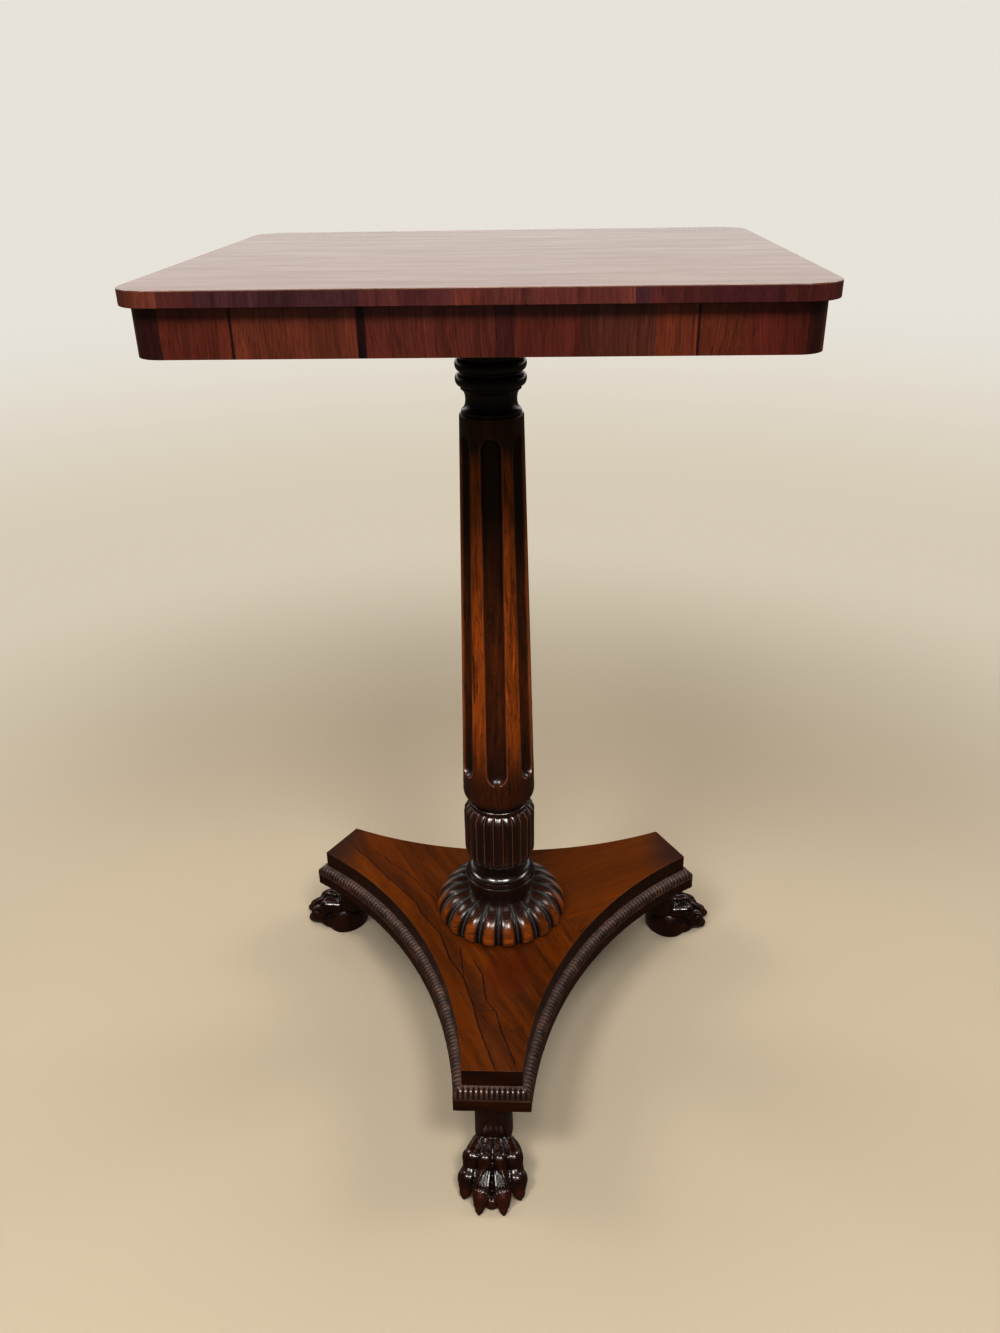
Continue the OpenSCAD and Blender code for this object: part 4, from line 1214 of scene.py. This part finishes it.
# Leaves of veneer along the frieze and the slab's edge: where each starts, and its tone beside the whole's
FRIEZE_LEAVES = (
    (-0.220, (0.42, 0.42, 0.55)), (-0.193, (1.15, 1.0, 0.85)), (-0.1492, (0.3, 0.3, 0.4)),
    (-0.1484, (1.3, 1.3, 1.0)), (-0.0712, (0.22, 0.25, 0.4)), (-0.0660, (1.2, 1.1, 1.0)),
    (0.011, (0.75, 0.7, 0.9)), (0.023, (1.15, 0.95, 0.9)), (0.064, (1.0, 1.1, 1.0)),
    (0.1080, (0.3, 0.3, 0.4)), (0.1088, (1.6, 1.5, 1.0)), (0.1331, (0.4, 0.4, 0.5)),
    (0.1337, (1.35, 1.25, 0.9)), (0.1633, (0.3, 0.3, 0.4)), (0.1641, (1.05, 0.8, 0.75)),
    (0.199, (0.5, 0.5, 0.6)),
)
EDGE_LEAVES = (
    (-0.222, (1.25, 1.2, 0.9)), (-0.190, (0.95, 0.8, 0.85)), (-0.168, (0.6, 0.65, 0.9)),
    (-0.068, (0.85, 0.75, 0.85)), (-0.012, (1.35, 1.1, 0.9)), (0.003, (1.1, 0.95, 0.9)),
    (0.094, (0.55, 0.55, 0.8)), (0.104, (0.72, 0.56, 0.62)), (0.139, (0.6, 0.45, 0.65)),
    (0.181, (0.75, 0.58, 0.56)),
)
LEAF_REACH, CORNER_INSET = 0.222, 0.004


def leaves(face, table):
    """Tone and shift of the leaves round a frieze or edge whose sides lie face out from the middle."""
    def change(tree, place):
        x, y, _ = tree.parts(place)
        side = tree.math("GREATER_THAN", tree.math("ABSOLUTE", x), face - CORNER_INSET)
        back = tree.math("GREATER_THAN", y, 0.15)
        turned_x = tree.times(x, tree.minus(1.0, tree.times(back, 2.0)))
        along = tree.plus(tree.times(side, tree.math("MULTIPLY_ADD", y, 1.1, 0.013)),
                          tree.times(tree.minus(1.0, side), turned_x))
        share = tree.math("DIVIDE", tree.plus(along, LEAF_REACH), 2 * LEAF_REACH)
        stops = [(max(0.0, (start + LEAF_REACH) / (2 * LEAF_REACH)), tone) for start, tone in table]
        tone = tree.ramp(share, stops, steps=True)
        return tone, tree.mapped(tone, (3.1, 1.7, 2.3))
    return change


def painted_hollow_shade(tree, tone, streak_and_shade, low, high, share):
    """A carving's tone with painted shade that darkens its hollows."""
    depth = tree.step(tree.attribute("hollow"), low, high)
    return tree.mix(tree.times(depth, share), tone, tint(streak_and_shade, 0.6))


def top_rosewood(finishes):
    def change(tree, tone, place):
        x, y, _ = tree.parts(place)
        crack, _ = tree.course(x, y, ((-0.030, -0.0225), (-0.012, -0.025), (0.012, -0.0285)), 0.0009)
        second, _ = tree.course(x, y, ((-0.105, 0.044), (-0.060, 0.045), (-0.020, 0.0435)), 0.0008)
        nick = tree.spot(place, (0.1305, 0.095), (0.006, 0.0016))
        marks = tree.most(tree.most(crack, tree.times(second, 0.5)), nick)
        return tree.mix(tree.times(marks, 0.9), tone, finishes.streak_and_shade)
    return rosewood(finishes, "top_rosewood", finishes.top, "X", figure=34, streaks=0.2, fibre=0.3,
                    pores=0.3, calm=0.72, roughness=0.32, coat=0.6, coat_roughness=0.2, extra=change)


def edge_rosewood(finishes):
    return rosewood(finishes, "edge_rosewood", finishes.edge, "Z", figure=32, stripes=0.3, streaks=0.2,
                    fibre=0.3, calm=0.35, coat=0.4, gloss=0.4, leaf=leaves(SLAB_HIGH.x, EDGE_LEAVES))


def frieze_rosewood(finishes):
    return rosewood(finishes, "frieze_rosewood", finishes.frieze, "Z", figure=32, stripes=0.3, streaks=0.18,
                    fibre=0.45, calm=0.35, coat=0.4, gloss=0.4, leaf=leaves(FRIEZE_HIGH.x, FRIEZE_LEAVES))


def neck_wood(finishes):
    # A near-black tone all over the neck.
    return rosewood(finishes, "neck_ebonised", finishes.neck, "Z", figure=60, streaks=0.3, fibre=0.2,
                    roughness=0.26, coat=0.5, gloss=0.4)


def shaft_rosewood(finishes):
    def change(tree, tone, place):
        height = tree.parts(place)[2]
        # Painted shade at both ends of the shaft: below the neck under the top, and towards the foot.
        ends = tree.most(tree.step(height, NECK_LOW.z - 0.043, NECK_LOW.z - 0.020),
                         tree.step(height, BULB_HIGH.z + 0.105, BULB_HIGH.z + 0.018, 0.0, 0.93))
        shaded_ends = tree.mix(tree.times(ends, 0.88), tone, finishes.streak_and_shade)
        # Painted shade in the flutes, deeper towards the top of the shaft.
        deep = tree.times(tree.step(tree.attribute("hollow"), 0.02, 0.5),
                          tree.step(height, 0.42, 0.57, 0.72, 0.96))
        flute = tree.mix(deep, shaded_ends, finishes.streak_and_shade)
        # A painted highlight along the flutes' worn arrises.
        lit = tree.times(tree.attribute("arris"), tree.step(height, 0.66, 0.55, 0.35, 0.7))
        return tree.mix(lit, flute, (0.30, 0.12, 0.055))
    return rosewood(finishes, "shaft_rosewood", finishes.shaft, "Z", figure=75, stripes=0.6, streaks=0.6,
                    fibre=0.35, roughness=0.3, coat=0.35, gloss=0.4, extra=change)


def carved_rosewood(finishes):
    def change(tree, tone, place):
        red = tree.times(tree.step(tree.attribute("fillet"), 0.3, 0.9), 0.9)
        # Painted shade darkens the hollows between the reeds; the fillets get their own orange tone.
        return tree.mix(red, painted_hollow_shade(tree, tone, finishes.streak_and_shade, 0.2, 0.8, 0.8), finishes.fillet)
    return rosewood(finishes, "carved_rosewood", finishes.bulb, "Z", figure=60, streaks=0.3, fibre=0.2,
                    pores=0.2, roughness=0.26, coat=0.8, coat_roughness=0.18, gloss=0.45, extra=change)


def collar_rosewood(finishes):
    return rosewood(finishes, "collar_rosewood", tint(finishes.bulb, 0.6), "X", figure=60, streaks=0.3,
                    fibre=0.2, pores=0.2, roughness=0.26, coat=0.9, coat_roughness=0.16, gloss=0.45)


def dome_rosewood(finishes):
    def change(tree, tone, place):
        height = tree.parts(place)[2]
        upper = tree.step(height, DOME_LOW.z + 0.014, DOME_HIGH.z - 0.001, 0.0, 0.9)
        # Painted shade darkens the valleys between the lobes.
        shown = painted_hollow_shade(tree, tree.mix(upper, tone, finishes.streak_and_shade), finishes.streak_and_shade, 0.02, 0.5, 0.97)
        # A pale grey painted highlight along the raised fillet in each valley.
        return tree.mix(tree.times(tree.attribute("fillet"), 0.75), shown, (0.10, 0.084, 0.078))
    return rosewood(finishes, "dome_rosewood", finishes.dome, "X", figure=50, streaks=0.3, fibre=0.25,
                    pores=0.2, roughness=0.22, coat=0.3, coat_roughness=0.16, gloss=0.45, dull=0.4,
                    extra=change)


# Dark lines in the plinth's veneer as points in plan (y, x), and cracks as (x, y), each with its width, in
# millimetres
DECK_LINES = (
    (((-211, 2.8), (-202.6, -0.2), (-165.1, -13.4), (-138, -20.4), (-104.4, -31), (-80.9, -46.1),
      (-43.5, -59.1), (-30.6, -69.4), (-11.3, -82.5), (2.5, -88.2), (24.4, -107.5), (47.2, -127.6),
      (74.3, -149), (93.6, -167.7)), 1.0),
    (((4.5, -66.6), (13.8, -73.7), (26.5, -84.5), (41.1, -94.6), (67.8, -122.8), (86.9, -142)), 0.9),
    (((-204.2, 19.6), (-169.2, 7.2), (-146, 0.9), (-132.9, -8.8), (-101.4, -13.3), (-79.1, -24.1)), 1.0),
    (((-104.4, -31), (-64.3, -37.7)), 0.7),
)
DECK_CRACKS = ((((-21.1, -127), (-10.5, -118)), 0.7), (((-17.3, -144), (-0.1, -144.8)), 0.8))


def deck_rosewood(finishes):
    def way(tree, place):
        """Grain along the right arm on the right, and along the long dark line elsewhere."""
        x, y, _ = tree.parts(place)
        right = tree.plus(tree.times(x, 0.85), tree.times(y, 0.5))
        share = tree.math("GREATER_THAN", right, 0.048)
        return tree.mix(share, tree.mapped(place, turn=(0, 0, math.radians(62))),
                        tree.mapped(place, turn=(0, 0, math.radians(-27)), shift=(0.3, 0.2, 0)))

    def change(tree, tone, place):
        x, y, _ = tree.parts(place)
        wobble = tree.times(tree.minus(tree.noise(place, 180, 2), 0.5), 0.0028)
        bent_x, bent_y = tree.plus(x, wobble), tree.plus(y, wobble)
        total, first = 0.0, None
        for points, width in DECK_LINES:
            mask, line = tree.course(y, bent_x, [metres(point) for point in points], width / 1000)
            total = tree.most(total, mask)
            first = first or line
        for points, width in DECK_CRACKS:
            mask, _ = tree.course(x, bent_y, [metres(point) for point in points], width / 1000)
            total = tree.most(total, tree.times(mask, 0.7))
        beside = tree.minus(x, first)
        light = tree.times(tree.step(beside, 0.001, -0.002), 0.2)
        right = tree.times(tree.spot(place, (0.13, 0.05), (0.11, 0.09)), 0.4)
        shadow = tree.times(tree.step(beside, -0.0005, 0.001), tree.step(beside, 0.022, 0.004))
        lighter = tree.mix(tree.most(light, right), tone, warmer(finishes.deck, 1.6))
        darker = tree.mix(tree.times(shadow, 0.3), lighter, finishes.streak_and_shade)
        red = tree.times(tree.spot(place, (0.012, -0.095), (0.026, 0.035)), 0.5)
        reddish = tree.mix(red, darker, tuple(c * k for c, k in zip(finishes.deck, (0.9, 0.55, 0.7))))
        far = tree.times(tree.step(tree.math("ABSOLUTE", x), 0.145, 0.185), tree.step(y, 0.03, 0.09))
        ended = tree.mix(tree.times(far, 0.8), reddish, (0.03, 0.016, 0.014))
        return tree.mix(tree.times(total, 0.93), ended, finishes.streak_and_shade)

    return rosewood(finishes, "plinth_rosewood", finishes.deck, "X", figure=22, stripes=0.45, streaks=0.3,
                    fibre=0.35, pores=0.5, roughness=0.34, coat=0.12, gloss=0.22, way=way, extra=change)


def side_rosewood(finishes):
    return rosewood(finishes, "side_rosewood", finishes.side, "X", figure=50, streaks=0.4, fibre=0.3,
                    roughness=0.32, coat=0.3, gloss=0.3)


def base_rosewood(finishes):
    return rosewood(finishes, "base_rosewood", tint(finishes.side, 1.15), "X", figure=50, streaks=0.4,
                    fibre=0.3, roughness=0.36, coat=0.2, gloss=0.3)


def bead_rosewood(finishes, roughness=0.52, coat=0.0):
    def change(tree, tone, place):
        # Painted shade darkens the grooves between the ribs.
        return painted_hollow_shade(tree, tone, finishes.streak_and_shade, 0.1, 0.7, 0.85)

    return rosewood(finishes, "bead_rosewood", finishes.bead, figure=60, streaks=0.3, fibre=0.2,
                    roughness=roughness, coat=coat, extra=change)


def paw_rosewood(finishes):
    def change(tree, tone, place):
        red = tree.mix(tree.times(tree.attribute("claw"), 0.8), tone, finishes.claw)
        # Painted shade darkens the hollows between the toes and in the gouge cuts.
        return painted_hollow_shade(tree, red, finishes.streak_and_shade, 0.5, 0.72, 0.95)
    return rosewood(finishes, "paw_rosewood", finishes.paw, "Z", figure=60, streaks=0.4, fibre=0.25,
                    pores=0.2, roughness=0.24, coat=0.6, coat_roughness=0.12, gloss=0.4, extra=change)


# The studio

CAMERA_PLACE = Vector((0.04231683, -0.83369133, 0.821534))
CAMERA_YAW, CAMERA_PITCH, CAMERA_ROLL = 0.04689, 0.47741, -0.01777
SENSOR_WIDTH = 36
CAMERA_LENS = 1037.58 * SENSOR_WIDTH / 1333
# Name, turn and rise in degrees, distance and width in metres, power in watts
SOFT_BOXES = (
    ("key", -38, 50, 2.2, 0.55, 28),
    ("fill", 27, 50, 2.2, 0.55, 28),
    ("small", -3, 51, 2.2, 0.4, 11),
    ("overhead", 180, 78, 2.4, 1.0, 16),
    ("left", -115, 42, 2.3, 0.7, 14),
    ("right", 115, 42, 2.3, 0.7, 14),
    ("front", -4, 15, 2.2, 1.0, 11),
)
NO_GLARE = "front"
LIGHT_AIM = Vector((0, 0, 0.35))
LIGHT_TONE = (1.0, 0.97, 0.93)
FLOOR_TONE = (1.0, 0.74, 0.48)
ROOM_CEILING, ROOM_WALL, ROOM_SIDES, ROOM_FLOOR = 0.4, 1.25, 0.04, 0.06
FLOOR_RADIUS, COVE, WALL_HEIGHT = 1.5, 0.25, 3.4
VIEW_GAMMA = 0.78


class PEDESTAL_TABLE_OT_studio(TableOperator, bpy.types.Operator):
    """Pale floor and backdrop in one sweep, soft lights and the camera"""
    bl_idname = "pedestal_table.studio"
    bl_label = "Studio"

    def make(self, scene):
        bpy.ops.mesh.primitive_circle_add(vertices=96, radius=FLOOR_RADIUS, fill_type="NGON")
        ground = settle(bpy.context.object, "studio_floor")
        bend = [(FLOOR_RADIUS + COVE * math.sin(a), COVE * (1 - math.cos(a))) for a in quarter(10)]
        sweep = turned("studio_backdrop", bend + [(FLOOR_RADIUS + COVE, WALL_HEIGHT)], 96)
        with edit(sweep):
            point_faces(inside=True)
        smooth(sweep)
        for backdrop in (ground, sweep):
            backdrop.data.materials.append(self.paper(scene.table_finishes))
            for kind in ("diffuse", "glossy", "transmission", "shadow"):
                setattr(backdrop, "visible_" + kind, False)
        for name, turn, rise, distance, width, power in SOFT_BOXES:
            a, e = math.radians(turn), math.radians(rise)
            way = Vector((math.sin(a) * math.cos(e), -math.cos(a) * math.cos(e), math.sin(e)))
            bpy.ops.object.light_add(type="AREA", location=LIGHT_AIM + way * distance,
                                     rotation=way.to_track_quat("Z", "Y").to_euler())
            lamp = bpy.context.object
            lamp.name = "soft_box_" + name
            lamp.data.shape = "SQUARE"
            lamp.data.size = width
            lamp.data.energy = power
            lamp.data.color = LIGHT_TONE
            lamp.visible_glossy = name != NO_GLARE
        scene.world = self.room()
        scene.view_settings.view_transform = "Standard"
        scene.view_settings.look = "None"
        scene.view_settings.gamma = VIEW_GAMMA
        self.camera(scene)

    def paper(self, finishes):
        """Plain paper: the floor takes light and shadow near the table, and further off it is evenly lit."""
        tree = Surface("studio_paper")
        x, y, z = tree.parts(tree.place())
        radius = tree.math("SQRT", tree.plus(tree.math("POWER", x, 2.0), tree.math("POWER", y, 2.0)))
        away = tree.step(radius, 0.4, 1.4)
        lit = tree.mix(tree.step(z, 0.0, 2 * COVE), finishes.far_floor, finishes.wall)
        tree.put(tree.shader.inputs["Emission Color"], lit)
        tree.put(tree.shader.inputs["Emission Strength"], away)
        return tree.finish(tree.mix(away, finishes.floor, (0, 0, 0)), 0.9, gloss=0.0)

    def room(self):
        """Light of the room by direction: a pale wall behind, a dim ceiling and sides, a brown floor."""
        world = bpy.data.worlds.new("studio_light")
        tree = Tree(world)
        way = tree.parts(tree.add("ShaderNodeTexCoord").outputs["Generated"])
        ceiling = tree.times(tree.step(way["Z"], 0.78, 0.95), ROOM_CEILING)
        low = tree.times(tree.step(way["Z"], 0.42, 0.12), tree.step(way["Z"], -0.05, 0.02))
        wall = tree.times(tree.times(tree.step(way["Y"], 0.1, 0.8), low), ROOM_WALL)
        below = tree.step(way["Z"], 0.0, -0.2)
        total = tree.plus(tree.plus(ceiling, wall), ROOM_SIDES)
        total = tree.plus(total, tree.times(below, ROOM_FLOOR))
        tone = tree.mix(below, LIGHT_TONE, FLOOR_TONE)
        background = tree.add("ShaderNodeBackground", {"Color": tone, "Strength": total})
        tree.add("ShaderNodeOutputWorld", {"Surface": background.outputs["Background"]})
        return world

    def camera(self, scene):
        yaw, pitch, roll = CAMERA_YAW, CAMERA_PITCH, CAMERA_ROLL
        ahead = Vector((-math.sin(yaw) * math.cos(pitch), math.cos(yaw) * math.cos(pitch), -math.sin(pitch)))
        level = Vector((math.cos(yaw), math.sin(yaw), 0))
        up = level.cross(ahead)
        right = math.cos(roll) * level + math.sin(roll) * up
        above = -math.sin(roll) * level + math.cos(roll) * up
        bpy.ops.object.camera_add(location=CAMERA_PLACE)
        camera = bpy.context.object
        camera.name = "studio_camera"
        turn = Matrix((right, above, -ahead)).transposed()
        camera.matrix_world = Matrix.Translation(CAMERA_PLACE) @ turn.to_4x4()
        camera.data.lens = CAMERA_LENS
        camera.data.sensor_width = SENSOR_WIDTH
        camera.data.clip_start = 0.01
        scene.camera = camera


OPERATORS = (
    PEDESTAL_TABLE_OT_studio,
    PEDESTAL_TABLE_OT_top,
    PEDESTAL_TABLE_OT_neck,
    PEDESTAL_TABLE_OT_shaft,
    PEDESTAL_TABLE_OT_bulb,
    PEDESTAL_TABLE_OT_collar,
    PEDESTAL_TABLE_OT_dome,
    PEDESTAL_TABLE_OT_plinth,
    PEDESTAL_TABLE_OT_beads,
    PEDESTAL_TABLE_OT_paws,
    PEDESTAL_TABLE_OT_underside,
)
GROUPS = (
    ("table_top", TopSizes),
    ("table_pillar", PillarSizes),
    ("table_plinth", PlinthSizes),
    ("table_paw", PawSizes),
    ("table_finishes", Finishes),
)


class PEDESTAL_TABLE_PT_panel(bpy.types.Panel):
    """Lists the table's pieces, sizes and colours"""
    bl_idname = "PEDESTAL_TABLE_PT_panel"
    bl_label = "Pedestal table"
    bl_space_type = "VIEW_3D"
    bl_region_type = "UI"
    bl_category = "Pedestal table"

    def draw(self, context):
        for name, group in GROUPS:
            box = self.layout.box()
            for key in group.__annotations__:
                box.prop(getattr(context.scene, name), key)
        for operator in OPERATORS:
            self.layout.operator(operator.bl_idname)


def register():
    for name, group in GROUPS:
        bpy.utils.register_class(group)
        setattr(bpy.types.Scene, name, PointerProperty(type=group))
    for operator in OPERATORS:
        bpy.utils.register_class(operator)
    bpy.utils.register_class(PEDESTAL_TABLE_PT_panel)


def unregister():
    bpy.utils.unregister_class(PEDESTAL_TABLE_PT_panel)
    for operator in reversed(OPERATORS):
        bpy.utils.unregister_class(operator)
    for name, group in reversed(GROUPS):
        delattr(bpy.types.Scene, name)
        bpy.utils.unregister_class(group)


def main():
    register()
    bpy.ops.object.select_all(action="DESELECT")
    bpy.ops.pedestal_table.studio()
    bpy.ops.pedestal_table.top()
    bpy.ops.pedestal_table.neck()
    bpy.ops.pedestal_table.shaft()
    bpy.ops.pedestal_table.bulb()
    bpy.ops.pedestal_table.collar()
    bpy.ops.pedestal_table.dome()
    bpy.ops.pedestal_table.plinth()
    bpy.ops.pedestal_table.beads()
    bpy.ops.pedestal_table.paws()
    bpy.ops.pedestal_table.underside()


if __name__ == "__main__":
    main()
